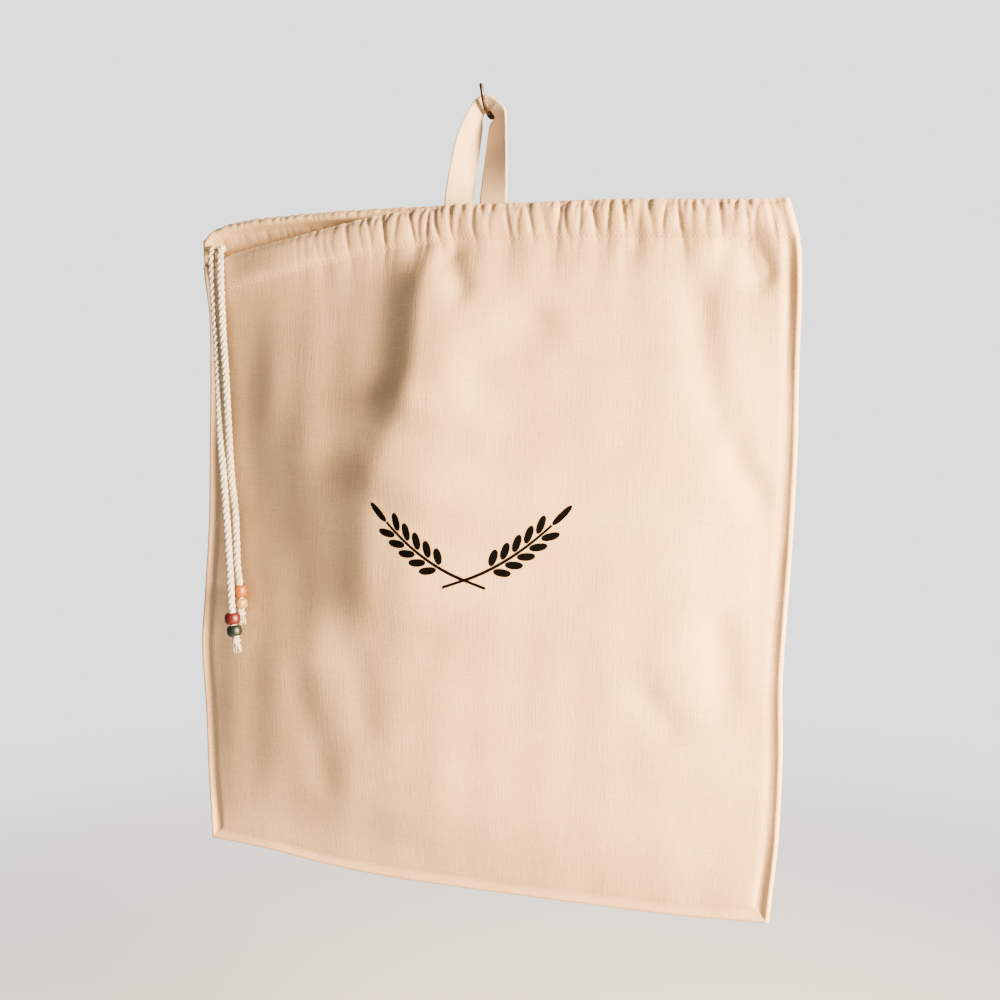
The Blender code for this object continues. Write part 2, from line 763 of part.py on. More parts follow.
def build_cords():
    """Both cord ends with their beads and knots."""
    material = make_material("twisted_cotton", CORD_WHITE, 0.9)
    lines = {}
    for name, route in (("cord_left", CORD_LEFT_ROUTE), ("cord_right", CORD_RIGHT_ROUTE)):
        build_cord(name, route, material)
        lines[name] = smooth_line(route, CORD_TWIST_PITCH / CORD_STEPS_PER_TURN)
    for bead in BEADS:
        build_bead(bead, lines[bead.cord])
    build_knot("knot_left", lines["cord_left"], material)
    build_knot("knot_right", lines["cord_right"], material)


def main():
    for thing in list(bpy.data.objects):
        bpy.data.objects.remove(thing, do_unlink=True)
    build_bag()
    build_tape()
    build_hook()
    build_cords()


main()
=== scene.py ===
"""The looks of a cloth bread bag that hangs by its tape loop from a wall hook.

X is to the viewer's right, Y goes into the wall, Z is up. Sizes are in
millimetres and are turned into metres where a mesh is made.
"""
import math
import random
from collections import namedtuple

import bpy
import numpy as np
from mathutils import Matrix, Vector


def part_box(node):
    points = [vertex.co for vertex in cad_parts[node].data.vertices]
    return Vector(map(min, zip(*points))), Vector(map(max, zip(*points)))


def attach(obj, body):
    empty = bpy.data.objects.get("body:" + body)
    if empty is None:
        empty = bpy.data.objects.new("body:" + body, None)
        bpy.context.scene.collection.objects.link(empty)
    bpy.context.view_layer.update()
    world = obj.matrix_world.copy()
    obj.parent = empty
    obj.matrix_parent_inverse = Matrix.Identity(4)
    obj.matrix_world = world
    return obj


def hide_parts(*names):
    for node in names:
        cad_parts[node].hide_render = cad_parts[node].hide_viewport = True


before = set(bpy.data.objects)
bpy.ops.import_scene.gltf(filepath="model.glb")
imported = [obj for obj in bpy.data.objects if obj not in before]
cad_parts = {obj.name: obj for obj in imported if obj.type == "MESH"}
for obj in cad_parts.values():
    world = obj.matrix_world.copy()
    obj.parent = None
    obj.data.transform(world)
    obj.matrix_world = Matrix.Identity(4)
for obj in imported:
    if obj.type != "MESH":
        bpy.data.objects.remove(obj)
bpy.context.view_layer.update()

MM = 0.001
BODY = "root"

# The camera stands a little to the right of the bag and looks slightly down
CAMERA_PLACE = (0.214, -0.589, -0.1985)
CAMERA_TURN = (86.7, 0.0, 19.6)
CAMERA_LENS = 36.54
CAMERA_SENSOR = 36.0

# Soft lamps: the place and what it aims at in metres, its width, power and colour
Lamp = namedtuple("Lamp", "name place aim size spread power colour")
LIGHTS = (
    Lamp("key", (1.18, -0.36, -0.12), (0.07, -0.02, -0.33), 0.42, 90.0, 53.0, (1.0, 0.69, 0.38)),
    Lamp("overhead", (0.0, 0.85, 1.0), (0.0, 0.75, -0.7), 1.4, 120.0, 20.0, (0.93, 0.98, 1.0)),
)
AIR_LIGHT = (0.90, 0.95, 1.0)
AIR_STRENGTH = 0.27
AIR_SEEN = 3.4

# Routes of the two cord ends, from the casing down to the end in the knot
CORD_LEFT_ROUTE = (
    (-190.3, -13.8, -71.5),
    (-189.2, -17.6, -73.2),
    (-187.8, -21.2, -78.0),
    (-187.0, -22.0, -86.0),
    (-186.4, -22.2, -100.0),
    (-185.8, -22.2, -114.0),
    (-184.6, -22.2, -132.0),
    (-183.6, -22.2, -152.0),
    (-182.8, -22.6, -172.0),
    (-181.4, -23.8, -196.0),
    (-177.8, -26.2, -222.0),
    (-174.4, -29.0, -242.0),
    (-171.4, -31.4, -262.0),
    (-169.4, -32.8, -284.0),
    (-168.2, -33.4, -302.0),
    (-167.4, -33.6, -312.6),
    (-166.2, -33.6, -320.4),
    (-165.2, -33.6, -325.0),
)
CORD_RIGHT_ROUTE = (
    (-183.4, -14.0, -71.8),
    (-182.4, -17.8, -73.4),
    (-181.0, -21.2, -78.2),
    (-180.3, -22.4, -86.0),
    (-179.8, -22.9, -100.0),
    (-179.2, -23.0, -116.0),
    (-178.4, -23.0, -134.0),
    (-177.2, -23.0, -154.0),
    (-176.2, -23.0, -176.0),
    (-175.4, -22.8, -198.0),
    (-174.0, -22.8, -222.0),
    (-171.4, -23.0, -244.0),
    (-170.6, -23.4, -262.0),
    (-169.8, -24.0, -278.0),
    (-168.0, -24.6, -290.0),
    (-167.2, -24.8, -299.0),
    (-166.6, -24.8, -308.4),
)
PLIES = 3
PLY_RADIUS = 1.14
PLY_CENTRE = 1.22
PLY_PITCH = 12.5
PLY_STEPS = 14
PLY_SIDES = 10

# Beads and the frayed knots under them
BEADS = {
    "cord_left": ("bead_red", "bead_green"),
    "cord_right": ("bead_orange", "bead_natural"),
}
KNOTS = {"cord_left": "knot_left", "cord_right": "knot_right"}
Bead = namedtuple("Bead", "name diameter height")
BEAD_SIZES = (
    Bead("bead_red", 10.2, 7.6),
    Bead("bead_green", 9.8, 7.2),
    Bead("bead_orange", 9.6, 8.2),
    Bead("bead_natural", 8.8, 6.6),
)
BEAD_BORE = 5.0
BEAD_SIDES = 40
STRANDS = 30
STRAND_LENGTH = 8.2
STRAND_SPREAD = 2.6
STRAND_RADIUS = 0.3

# The cloth, the sizes it was cut to, and the casing that is turned over the cord
CLOTH = 0.7
CLOTH_MIDDLE = 0.6
HEM_HEIGHT = 22.0
HEM_THICK = 4.2
HEM_TUCK = -0.15
HEM_INSIDE = 0.45
SEAM_GAP = 1.0
PEAK_AT = 0.44
RIM_LENGTH = 3.0
EDGE_RADIUS = 1.3
EDGE_BULGE = 0.55
EDGE_BULGE_AT = 1.5
EDGE_BULGE_WIDE = 1.1
EDGE_GROOVE = 0.7
EDGE_GROOVE_AT = 6.2
EDGE_GROOVE_WIDE = 2.9
EDGE_DEEP = 1.5
EDGE_DEEP_DOWN = 48.0
EDGE_DEEP_RUN = 34.0
COLUMN_STEP = 1.03
HEM_ROW_COUNT = 16
RIM_ROW_COUNT = 5
INSIDE_ROW_COUNT = 15
# The open left end of the mouth, where the back casing rolls forward over the cords
ROLL_OUT = 6.0
ROLL_HOLLOW = 2.4
ROLL_SHARE = 0.32
ROLL_END = 11.0
ROLL_RIGHT = -40.0
ROLL_RUN = 60.0
FINE_STEP = 1.0
FINE_GROWTH = 1.12
FINE_REACH = 44.0
BODY_ROW_COUNT = 54
PATTERN_SHIFT = (210.0, 500.0)

# Sections of the bag from the mouth down, as the solid has them
Section = namedtuple("Section", "z left_x right_x seam_y back_y front_y round")
SECTIONS = (
    Section(-62, -199.0, 173.5, -14.0, -11.7, -20.0, 0.45),
    Section(-88, -198.6, 180.0, -13.0, -10.5, -21.5, 0.60),
    Section(-116, -197.0, 181.4, -10.5, -8.2, -27.0, 1.00),
    Section(-156, -198.2, 180.6, -9.0, -7.0, -32.0, 1.25),
    Section(-200, -199.8, 180.4, -8.5, -6.5, -35.0, 1.30),
    Section(-252, -202.2, 178.6, -7.5, -6.3, -35.5, 1.35),
    Section(-306, -206.5, 175.6, -8.0, -6.3, -32.5, 1.35),
    Section(-336, -208.3, 174.5, -9.0, -6.3, -29.5, 1.30),
    Section(-376, -207.2, 175.0, -7.5, -6.2, -26.5, 1.20),
    Section(-426, -206.5, 173.3, -6.5, -6.0, -19.5, 1.05),
    Section(-474, -204.7, 169.0, -6.0, -5.5, -6.5, 0.90),
)
Edge = namedtuple("Edge", "x back_z front_z")
TOP_EDGE = (
    Edge(-200, -66.5, -84.0),
    Edge(-190, -58.8, -82.0),
    Edge(-170, -54.8, -76.4),
    Edge(-129, -53.3, -70.0),
    Edge(-96, -53.5, -64.7),
    Edge(-74, -53.9, -61.4),
    Edge(-52, -54.6, -59.5),
    Edge(-19, -56.0, -57.8),
    Edge(12, -57.2, -59.7),
    Edge(84, -60.2, -62.4),
    Edge(149, -65.6, -67.2),
    Edge(176, -68.0, -68.0),
)
Bottom = namedtuple("Bottom", "x z")
BOTTOM_EDGE = (
    Bottom(-205, -472.2),
    Bottom(-156, -474.7),
    Bottom(-121, -478.2),
    Bottom(-72, -480.5),
    Bottom(-35, -480.2),
    Bottom(45, -478.4),
    Bottom(118, -476.1),
    Bottom(169, -472.7),
)
HemRow = namedtuple("HemRow", "down swell")
HEM_ROWS = (
    HemRow(0.0, 0.30),
    HemRow(0.16, 0.82),
    HemRow(0.45, 1.0),
    HemRow(0.76, 0.80),
    HemRow(1.0, 0.06),
)
HemEnd = namedtuple("HemEnd", "left left_run right right_run")
HEM_ENDS = {
    "front": HemEnd(-192.0, 60.0, 176.0, 6.0),
    "back": HemEnd(-199.0, 7.0, 176.0, 6.0),
}

# Folds of the panels: the line of each crest, its bow to the right, how wide it
# falls away on its left and right side, and its height (a trough is negative)
Fold = namedtuple("Fold", "name top_x top_z end_x end_z bow left right height")
FRONT_FOLDS = (
    Fold("upper_ridge", -29, -72, -34, -198, 1, 21, 62, 8.6),
    Fold("shift_ridge", -34, -156, -62, -238, 0, 24, 60, 4.8),
    Fold("lower_ridge", -60, -198, -62, -322, 0, 27, 72, 6.4),
    Fold("low_left_swell", -64, -318, -60, -470, 0, 84, 70, 3.4),
    Fold("right_swell", 124, -104, 120, -400, 0, 66, 36, 5.6),
    Fold("sweep_ridge", -172, -108, -96, -312, 18, 24, 24, 0.8),
    Fold("sweep_trough", -172, -186, -110, -330, 6, 22, 22, -0.8),
    Fold("low_trough", -131, -330, -101, -446, 2, 13, 13, -1.3),
    Fold("side_trough", -80, -318, -75, -392, 0, 13, 13, -1.5),
    Fold("loop_pleat", -24, -80, -4, -120, 0, 8, 8, -2.6),
    Fold("slant_trough", 50, -118, -10, -172, 0, 16, 20, -3.2),
    Fold("right_crease", 124, -92, 145, -208, -4, 10, 10, -2.6),
    Fold("seam_crease", 141, -196, 172, -240, -3, 9, 9, -3.4),
    Fold("lower_right_trough", 136, -284, 144, -362, 2, 11, 11, -3.2),
    Fold("lower_right_slant", 92, -332, 120, -372, 0, 10, 10, -2.0),
    Fold("corner_hollow", 146, -80, 168, -118, 0, 11, 11, -3.6),
)
BACK_FOLDS = (
    Fold("back_ridge", -96, -96, -70, -330, 8, 22, 30, 1.6),
    Fold("back_trough", 60, -92, 40, -300, -6, 26, 24, -1.5),
    Fold("back_corner", 120, -100, 150, -230, 0, 20, 20, 1.4),
)
FOLD_FADE = 0.28
FOLD_SIDE_FADE = 0.06
FOLD_LOW_FADE = 60.0

# Pleats of the gathered casing: how far apart, how deep and wide, how much they
# slant over the casing, and how far they run on below its stitch line
CREASE_STEP = (4.4, 10.5)
CREASE_DEPTH = (0.4, 1.35)
CREASE_WIDTH = (0.9, 1.8)
CREASE_SLANT = (0.4, 5.0)
CREASE_LEANS_LEFT_OF = -66.0
CREASE_BEND = 1.4
CREASE_RUN = (2.0, 17.0)
CREASE_AT_RIM = 0.95
CREASE_AT_STITCHES = 0.36
CREASE_SPREAD = 12.0
CREASE_SHARPNESS = 1.25
CREASE_SEED = {"front": 11, "back": 23}
# Small gathers at the rim, over the drawstring
RIM_STEP = (3.6, 7.4)
RIM_DEPTH = (0.4, 1.3)
RIM_WIDTH = (0.9, 1.5)
RIM_SLANT = 2.2
RIM_RUN = (3.5, 8.5)
PUCKER_STEP = (16.0, 30.0)
PUCKER_DEPTH = (0.4, 1.3)
PUCKER_WIDTH = (5.0, 9.0)
PUCKER_RUN = (30.0, 75.0)
CALM_GATHER = 0.06
CALM_LEFT_OF = -138.0
CALM_RUN = 66.0
SEWN_MIDDLE = -10.0
SEWN_HALF = 24.0
SEWN_RUN = 12.0
# Low unevenness of hanging cloth
WAVES = 14
WAVE_LENGTH = (26.0, 95.0)
WAVE_HEIGHT = 0.075

# Stitches
STITCH_PITCH = 2.9
STITCH_LENGTH = 2.1
STITCH_RADIUS = 0.26
STITCH_UP = 1.4
STITCH_SIDES = 6

# The tape from its left sewn end over the hook to its right one, as the solid has it
TapeRow = namedtuple("TapeRow", "x y z turn tilt cup")
TAPE_ROWS = (
    TapeRow(-21.6, -5.3, -78.5, -90, 0, 0.0),
    TapeRow(-21.2, -5.3, -66.0, -90, 0, 0.0),
    TapeRow(-20.6, -5.6, -54.0, -78, 0, 0.0),
    TapeRow(-16.8, -7.8, -36.5, -52, 0, 0.0),
    TapeRow(-12.4, -9.8, -19.5, -38, 0, 0.5),
    TapeRow(-7.7, -10.4, -9.4, -22, 4, 2.0),
    TapeRow(-3.5, -10.2, -2.9, -5, 9, 4.6),
    TapeRow(0.0, -9.8, -0.7, 0, 12, 5.4),
    TapeRow(2.8, -9.8, -2.4, 20, 10, 4.6),
    TapeRow(5.3, -9.6, -4.9, 40, 6, 2.8),
    TapeRow(5.6, -9.2, -9.4, 52, 3, 0.8),
    TapeRow(4.9, -7.9, -21.0, 61, 0, 0.0),
    TapeRow(3.6, -6.8, -36.0, 73, 0, 0.0),
    TapeRow(1.9, -5.6, -54.5, 87, 0, 0.0),
    TapeRow(1.5, -5.3, -66.0, 90, 0, 0.0),
    TapeRow(1.4, -5.3, -78.5, 90, 0, 0.0),
)
TAPE_WIDTH = 17.5
TAPE_THICK = 0.9
TAPE_STEPS = 150
TAPE_COLUMNS = 17
TAPE_LOOK = 0.01
TAPE_SEWN = 15.0

# Middle line of the hook wire, off the wall, and its sizes
WirePoint = namedtuple("WirePoint", "y z")
HOOK_ROUTE = (
    WirePoint(-2.0, 0.0),
    WirePoint(-4.0, -0.8),
    WirePoint(-6.6, -2.4),
    WirePoint(-9.6, -3.1),
    WirePoint(-12.6, -2.4),
    WirePoint(-15.2, -0.4),
    WirePoint(-17.3, 2.6),
    WirePoint(-18.7, 5.4),
    WirePoint(-19.9, 7.8),
    WirePoint(-21.2, 9.9),
)
HOOK_WIRE = 2.2
HOOK_COLLAR = 8.4
HOOK_COLLAR_THICK = 1.2
HOOK_SIDES = 24
HOOK_STEP = 0.9

# Colours, as linear values
COTTON = (0.80, 0.58, 0.365)
COTTON_DULL = (0.63, 0.41, 0.225)
FLECK = (0.20, 0.13, 0.075)
INK = (0.0016, 0.0015, 0.0014)
TAPE_WHITE = (0.82, 0.63, 0.43)
CORD_WHITE = (0.96, 0.93, 0.85)
CORD_DULL = (0.80, 0.72, 0.58)
BRASS = (0.15, 0.105, 0.072)
BRASS_DARK = (0.03, 0.02, 0.014)
PAINTS = {
    "bead_red": ((0.085, 0.0012, 0.005), (0.045, 0.0008, 0.0025)),
    "bead_green": ((0.0015, 0.012, 0.0085), (0.0008, 0.0055, 0.004)),
    "bead_orange": ((0.27, 0.068, 0.0015), (0.17, 0.036, 0.001)),
    "bead_natural": ((0.34, 0.21, 0.075), (0.20, 0.11, 0.032)),
}
WOOD_SLOTS = {
    "bead_red": "red_wood",
    "bead_green": "green_wood",
    "bead_orange": "orange_wood",
    "bead_natural": "natural_wood",
}
FLOOR_PALE = (0.62, 0.63, 0.64)

# The print: two wheat ears that cross at their stems
MOTIF_MIDDLE = (-1.0, -256.0)
EAR_LOW = -24.0
EAR_SLOPE = 0.36
EAR_CURVE = 0.0062
EAR_START = 16.0
EAR_END = 50.0
EAR_PITCH = 6.8
EAR_UPRIGHT = 0.82
EAR_LEAN = 0.57
GRAIN_ASIDE = 5.0
GRAIN_TURN = 38.0
GRAIN_LONG = 5.6
GRAIN_WIDE = 2.5
STEM_WIDE = 1.0
TAIL_LONG = 13.0


def mix(low, high, share):
    return low + (high - low) * share


def ease(share):
    """A smooth step from 0 to 1, for one value or many."""
    share = np.clip(share, 0.0, 1.0)
    return share * share * (3.0 - 2.0 * share)


def read_table(rows, key, column, at):
    """A column of a table at many key values, smoothly between its rows."""
    keys = np.array([getattr(row, key) for row in rows], float)
    values = np.array([getattr(row, column) for row in rows], float)
    at = np.asarray(at, float)
    if keys[0] > keys[-1]:
        keys = -keys
        at = -at
    at = np.clip(at, keys[0], keys[-1])
    slopes = np.empty(len(keys))
    slopes[1:-1] = (values[2:] - values[:-2]) / (keys[2:] - keys[:-2])
    slopes[0] = (values[1] - values[0]) / (keys[1] - keys[0]) / 2.0
    slopes[-1] = (values[-1] - values[-2]) / (keys[-1] - keys[-2]) / 2.0
    k = np.clip(np.searchsorted(keys, at) - 1, 0, len(keys) - 2)
    span = keys[k + 1] - keys[k]
    share = (at - keys[k]) / span
    a = share ** 2
    b = a * share
    value = (2 * b - 3 * a + 1) * values[k] + (b - 2 * a + share) * span * slopes[k]
    return value + (3 * a - 2 * b) * values[k + 1] + (b - a) * span * slopes[k + 1]


def smooth_line(points, step):
    """Evenly spaced points on one smooth curve through the given ones."""
    points = np.array(points, float)
    place = np.arange(len(points))
    parts = 12
    at = np.linspace(0, len(points) - 1, (len(points) - 1) * parts + 1)
    Row = namedtuple("Row", "place value")
    fine = np.stack([
        read_table([Row(k, value) for k, value in zip(place, points[:, axis])], "place", "value", at)
        for axis in range(3)], axis=1)
    lengths = np.concatenate([[0.0], np.cumsum(np.linalg.norm(np.diff(fine, axis=0), axis=1))])
    count = max(int(round(lengths[-1] / step)), 1)
    wanted = np.linspace(0.0, lengths[-1], count + 1)
    return np.stack([np.interp(wanted, lengths, fine[:, axis]) for axis in range(3)], axis=1)


def line_frames(line):
    """Direction, side and up vectors along a line, carried without twist."""
    ahead = np.vstack([line[1:], line[-1:]])
    behind = np.vstack([line[:1], line[:-1]])
    along = ahead - behind
    along /= np.linalg.norm(along, axis=1)[:, None]
    side = np.cross(along[0], (0.0, 0.0, 1.0))
    if np.linalg.norm(side) < 0.1:
        side = np.cross(along[0], (1.0, 0.0, 0.0))
    sides = np.empty_like(line)
    for k, direction in enumerate(along):
        side = side - direction * np.dot(side, direction)
        side /= np.linalg.norm(side)
        sides[k] = side
    return along, sides, np.cross(along, sides)


class Shape:
    """Points, faces and pattern places of one piece, in millimetres."""

    def __init__(self):
        self.points = []
        self.faces = []
        self.places = []

    def add_face(self, corners, places):
        self.faces.append(corners)
        self.places.extend(places)

    def tube(self, line, radii, sides):
        """A round rod along a line, closed at both ends."""
        line = np.asarray(line, float)
        radii = np.broadcast_to(radii, len(line))
        side, up = line_frames(line)[1:]
        angle = np.arange(sides) * 2.0 * math.pi / sides
        ring = side[:, None] * np.cos(angle)[None, :, None] + up[:, None] * np.sin(angle)[None, :, None]
        ring = line[:, None] + ring * radii[:, None, None]
        start = len(self.points)
        self.points.extend(ring.reshape(-1, 3).tolist())
        down = np.concatenate([[0.0], np.cumsum(np.linalg.norm(np.diff(line, axis=0), axis=1))])
        for k in range(len(line) - 1):
            for s in range(sides):
                t = (s + 1) % sides
                a = start + k * sides
                b = a + sides
                left, right = s / sides, (s + 1) / sides
                self.add_face((a + s, a + t, b + t, b + s),
                              ((left, down[k]), (right, down[k]), (right, down[k + 1]), (left, down[k + 1])))
        last = start + (len(line) - 1) * sides
        self.add_face(tuple(range(start + sides - 1, start - 1, -1)), [(0.0, 0.0)] * sides)
        self.add_face(tuple(range(last, last + sides)), [(0.0, down[-1])] * sides)

    def grid(self, points, places, flip=False):
        """A sheet of rows and columns of points."""
        rows, columns = points.shape[:2]
        start = len(self.points)
        self.points.extend(points.reshape(-1, 3).tolist())
        for k in range(rows - 1):
            for c in range(columns - 1):
                corners = ((k, c), (k, c + 1), (k + 1, c + 1), (k + 1, c))
                if flip:
                    corners = corners[::-1]
                self.add_face(tuple(start + r * columns + q for r, q in corners),
                              [tuple(places[r, q]) for r, q in corners])

    def make(self, name, *materials):
        """One mesh object; pattern places are kept in metres."""
        mesh = bpy.data.meshes.new(name)
        mesh.from_pydata([(x * MM, y * MM, z * MM) for x, y, z in self.points], [], self.faces)
        layer = mesh.uv_layers.new(name="pattern")
        values = (np.array(self.places, float) * MM).astype(np.float32)
        layer.data.foreach_set("uv", values.ravel())
        mesh.shade_smooth()
        for material in materials:
            mesh.materials.append(material)
        thing = bpy.data.objects.new(name, mesh)
        bpy.context.scene.collection.objects.link(thing)
        return thing


def thicken(thing, thickness, inner_material=0):
    """Cloth gets its thickness, half to each side."""
    wall = thing.modifiers.new("thickness", "SOLIDIFY")
    wall.thickness = thickness * MM
    wall.offset = 0.0
    wall.material_offset = inner_material
    wall.use_quality_normals = True
    select_only(thing)
    bpy.ops.object.modifier_apply(modifier=wall.name)


def select_only(thing):
    bpy.ops.object.select_all(action="DESELECT")
    thing.select_set(True)
    bpy.context.view_layer.objects.active = thing


class Signal:
    """A shader socket that takes part in Python sums."""

    def __init__(self, finish, socket):
        self.finish = finish
        self.socket = socket

    def math(self, operation, *values):
        return self.finish.node("ShaderNodeMath", {"operation": operation}, dict(enumerate(values)))

    def __add__(self, other):
        return self.math("ADD", self, other)

    __radd__ = __add__

    def __sub__(self, other):
        return self.math("SUBTRACT", self, other)

    def __rsub__(self, other):
        return self.math("SUBTRACT", other, self)

    def __mul__(self, other):
        return self.math("MULTIPLY", self, other)

    __rmul__ = __mul__

    def __truediv__(self, other):
        return self.math("DIVIDE", self, other)

    def __pow__(self, other):
        return self.math("POWER", self, other)

    def __mod__(self, other):
        return self.math("FLOORED_MODULO", self, other)

    def __abs__(self):
        return self.math("ABSOLUTE", self)

    def __lt__(self, other):
        return self.math("LESS_THAN", self, other)

    def __gt__(self, other):
        return self.math("GREATER_THAN", self, other)

    def sine(self):
        return self.math("SINE", self)

    def larger(self, other):
        return self.math("MAXIMUM", self, other)

    def smaller(self, other):
        return self.math("MINIMUM", self, other)

    def between(self, low, high):
        return self.larger(low).smaller(high)

    def step(self, low, high):
        """0 below low and 1 above high, smooth between."""
        return self.finish.node("ShaderNodeMapRange", {"interpolation_type": "SMOOTHSTEP"},
                                {"Value": self, "From Min": low, "From Max": high})


class Finish:
    """A material with one Principled shader and nodes for what changes."""

    def __init__(self, name, constants):
        self.material = bpy.data.materials.new(name)
        self.material.use_nodes = True
        self.tree = self.material.node_tree
        self.shader = self.tree.nodes["Principled BSDF"]
        for key, value in constants.items():
            self.shader.inputs[key].default_value = value

    def node(self, kind, settings, sockets, output=0):
        """Adds a node, its settings first, then its socket values or links."""
        made = self.tree.nodes.new(kind)
        for key, value in settings.items():
            setattr(made, key, value)
        for key, value in sockets.items():
            if isinstance(value, Signal):
                self.tree.links.new(value.socket, made.inputs[key])
            else:
                made.inputs[key].default_value = value
        return Signal(self, made.outputs[output])

    def pattern(self):
        """Pattern places on the piece, in millimetres."""
        place = self.node("ShaderNodeUVMap", {"uv_map": "pattern"}, {})
        return self.node("ShaderNodeMapping", {}, {"Vector": place, "Scale": (1.0 / MM,) * 3})

    def here(self):
        """Places in the object's own space, in millimetres."""
        place = self.node("ShaderNodeTexCoord", {}, {}, "Object")
        return self.node("ShaderNodeMapping", {}, {"Vector": place, "Scale": (1.0 / MM,) * 3})

    def parts(self, vector):
        made = self.node("ShaderNodeSeparateXYZ", {}, {0: vector})
        outputs = made.socket.node.outputs
        return [Signal(self, outputs[k]) for k in range(3)]

    def vector(self, x, y, z=0.0):
        return self.node("ShaderNodeCombineXYZ", {}, {0: x, 1: y, 2: z})

    def noise(self, vector, scale, detail=2.0, roughness=0.5):
        return self.node("ShaderNodeTexNoise", {},
                         {"Vector": vector, "Scale": scale, "Detail": detail, "Roughness": roughness})

    def stretched(self, vector, sizes, detail=2.0):
        """Noise whose grain has its own size along each axis, in millimetres."""
        scaled = self.node("ShaderNodeMapping", {},
                           {"Vector": vector, "Scale": tuple(1.0 / size for size in sizes)})
        return self.noise(scaled, 1.0, detail)

    def blend(self, share, low, high):
        """Between two colours."""
        wide = {"data_type": "RGBA"}
        pair = {6: low if isinstance(low, Signal) else (*low, 1.0),
                7: high if isinstance(high, Signal) else (*high, 1.0), 0: share}
        return self.node("ShaderNodeMix", wide, pair, 2)

    def set(self, key, signal):
        self.tree.links.new(signal.socket, self.shader.inputs[key])

    def bump(self, height, distance, strength=1.0):
        """Height in millimetres, raised by a distance in millimetres."""
        self.set("Normal", self.node("ShaderNodeBump", {},
                                     {"Height": height, "Distance": distance * MM, "Strength": strength}))


def wheat_print(finish, place):
    """Where ink lies: two wheat ears that cross at their stems."""
    x, z = finish.parts(place)[:2]
    across = abs(x - (MOTIF_MIDDLE[0] + PATTERN_SHIFT[0]))
    high = z - (MOTIF_MIDDLE[1] + PATTERN_SHIFT[1])
    axis = EAR_LOW + across * EAR_SLOPE + across * across * EAR_CURVE
    aside = (high - axis) * EAR_UPRIGHT
    apart = abs(aside)
    foot = across + aside * EAR_LEAN
    turn = math.radians(GRAIN_TURN)
    grain = None
    for first in (0.0, EAR_PITCH):
        along = ((foot - EAR_START + first + EAR_PITCH / 2.0) % (2.0 * EAR_PITCH) - EAR_PITCH) / EAR_UPRIGHT
        out = apart - GRAIN_ASIDE
        long = abs((along * math.cos(turn) + out * math.sin(turn)) / GRAIN_LONG)
        wide = (out * math.cos(turn) - along * math.sin(turn)) / GRAIN_WIDE
        centre = foot - along * EAR_UPRIGHT
        leaf = (1.0 - (long ** 2.4 + wide * wide)) * (centre > EAR_START) * (centre < EAR_END)
        grain = leaf if grain is None else grain.larger(leaf)
    tip_long = abs((foot - EAR_END - GRAIN_LONG) / GRAIN_LONG)
    tip_wide = aside / GRAIN_WIDE
    tip = 1.0 - (tip_long ** 2.4 + tip_wide * tip_wide)
    stem = (STEM_WIDE - apart) * (foot < EAR_END)
    tail = (STEM_WIDE - abs(high - EAR_LOW + across * EAR_SLOPE) * 0.95) * (across < TAIL_LONG)
    ink = grain.larger(tip).larger(stem).larger(tail)
    return ink.step(0.02, 0.16)


def cloth_finish(name, printed):
    """Unbleached plain-woven cloth, with its uneven threads, slubs and flecks."""
    finish = Finish(name, {"Specular IOR Level": 0.04})
    flat = finish.pattern()
    x, z = finish.parts(flat)[:2]
    wander = (finish.noise(flat, 0.045, 2.0) - 0.5) * 3.0
    warp = finish.stretched(finish.vector(x + wander, z), (0.85, 26.0, 1.0), 3.0)
    weft = finish.stretched(finish.vector(x, z + wander), (22.0, 0.9, 1.0), 3.0)
    slub = finish.stretched(finish.vector(x, z), (6.0, 1.0, 1.0), 1.0).step(0.66, 0.80)
    thick = finish.stretched(finish.vector(x, z), (1.1, 9.0, 1.0), 1.0).step(0.68, 0.82)
    grain = finish.noise(flat, 0.55, 3.0, 0.6)
    cloud = finish.noise(flat, 0.022, 3.0, 0.55)
    dull = ((warp - 0.5) * 0.9 + (weft - 0.5) * 0.9 + (grain - 0.5) * 1.15 + (cloud - 0.5) * 1.1 + 0.38)
    dull = dull + (slub + thick) * 0.16
    colour = finish.blend(dull.between(0.0, 1.0), COTTON, COTTON_DULL)
    fleck = finish.stretched(finish.vector(x + wander * 0.5, z), (1.5, 1.1, 1.0), 1.0).step(0.70, 0.77)
    colour = finish.blend(fleck * 0.6, colour, FLECK)
    height = (warp - 0.5) * 1.4 + (weft - 0.5) * 1.2 + (slub + thick) * 0.6 + grain * 0.9
    rough = 0.88 + (grain - 0.5) * 0.1
    if printed:
        ink = wheat_print(finish, flat)
        colour = finish.blend(ink, colour, INK)
        rough = rough - ink * 0.12
        height = height * (1.0 - ink * 0.6)
    finish.set("Base Color", colour)
    finish.set("Roughness", rough)
    finish.bump(height, 0.11)
    return finish.material


def tape_finish():
    """Twill tape: fine slanting ribs."""
    finish = Finish("tape_finish", {"Sheen Weight": 0.12, "Specular IOR Level": 0.25})
    flat = finish.pattern()
    across, along = finish.parts(flat)[:2]
    lane = abs((across + 20.0 * 2.9) % 5.8 - 2.9)
    rib = ((lane * 1.0 + along) * (2.0 * math.pi / 1.25)).sine()
    yarn = finish.stretched(flat, (0.7, 9.0, 1.0), 2.0)
    cloud = finish.noise(flat, 0.06, 2.0)
    dull = 0.30 - rib * 0.14 + (yarn - 0.5) * 0.6 + (cloud - 0.5) * 0.5
    finish.set("Base Color", finish.blend(dull.between(0.0, 1.0), TAPE_WHITE, (0.60, 0.48, 0.35)))
    finish.set("Roughness", 0.86 + (yarn - 0.5) * 0.1)
    finish.bump(rib * 0.5 + yarn, 0.16)
    return finish.material


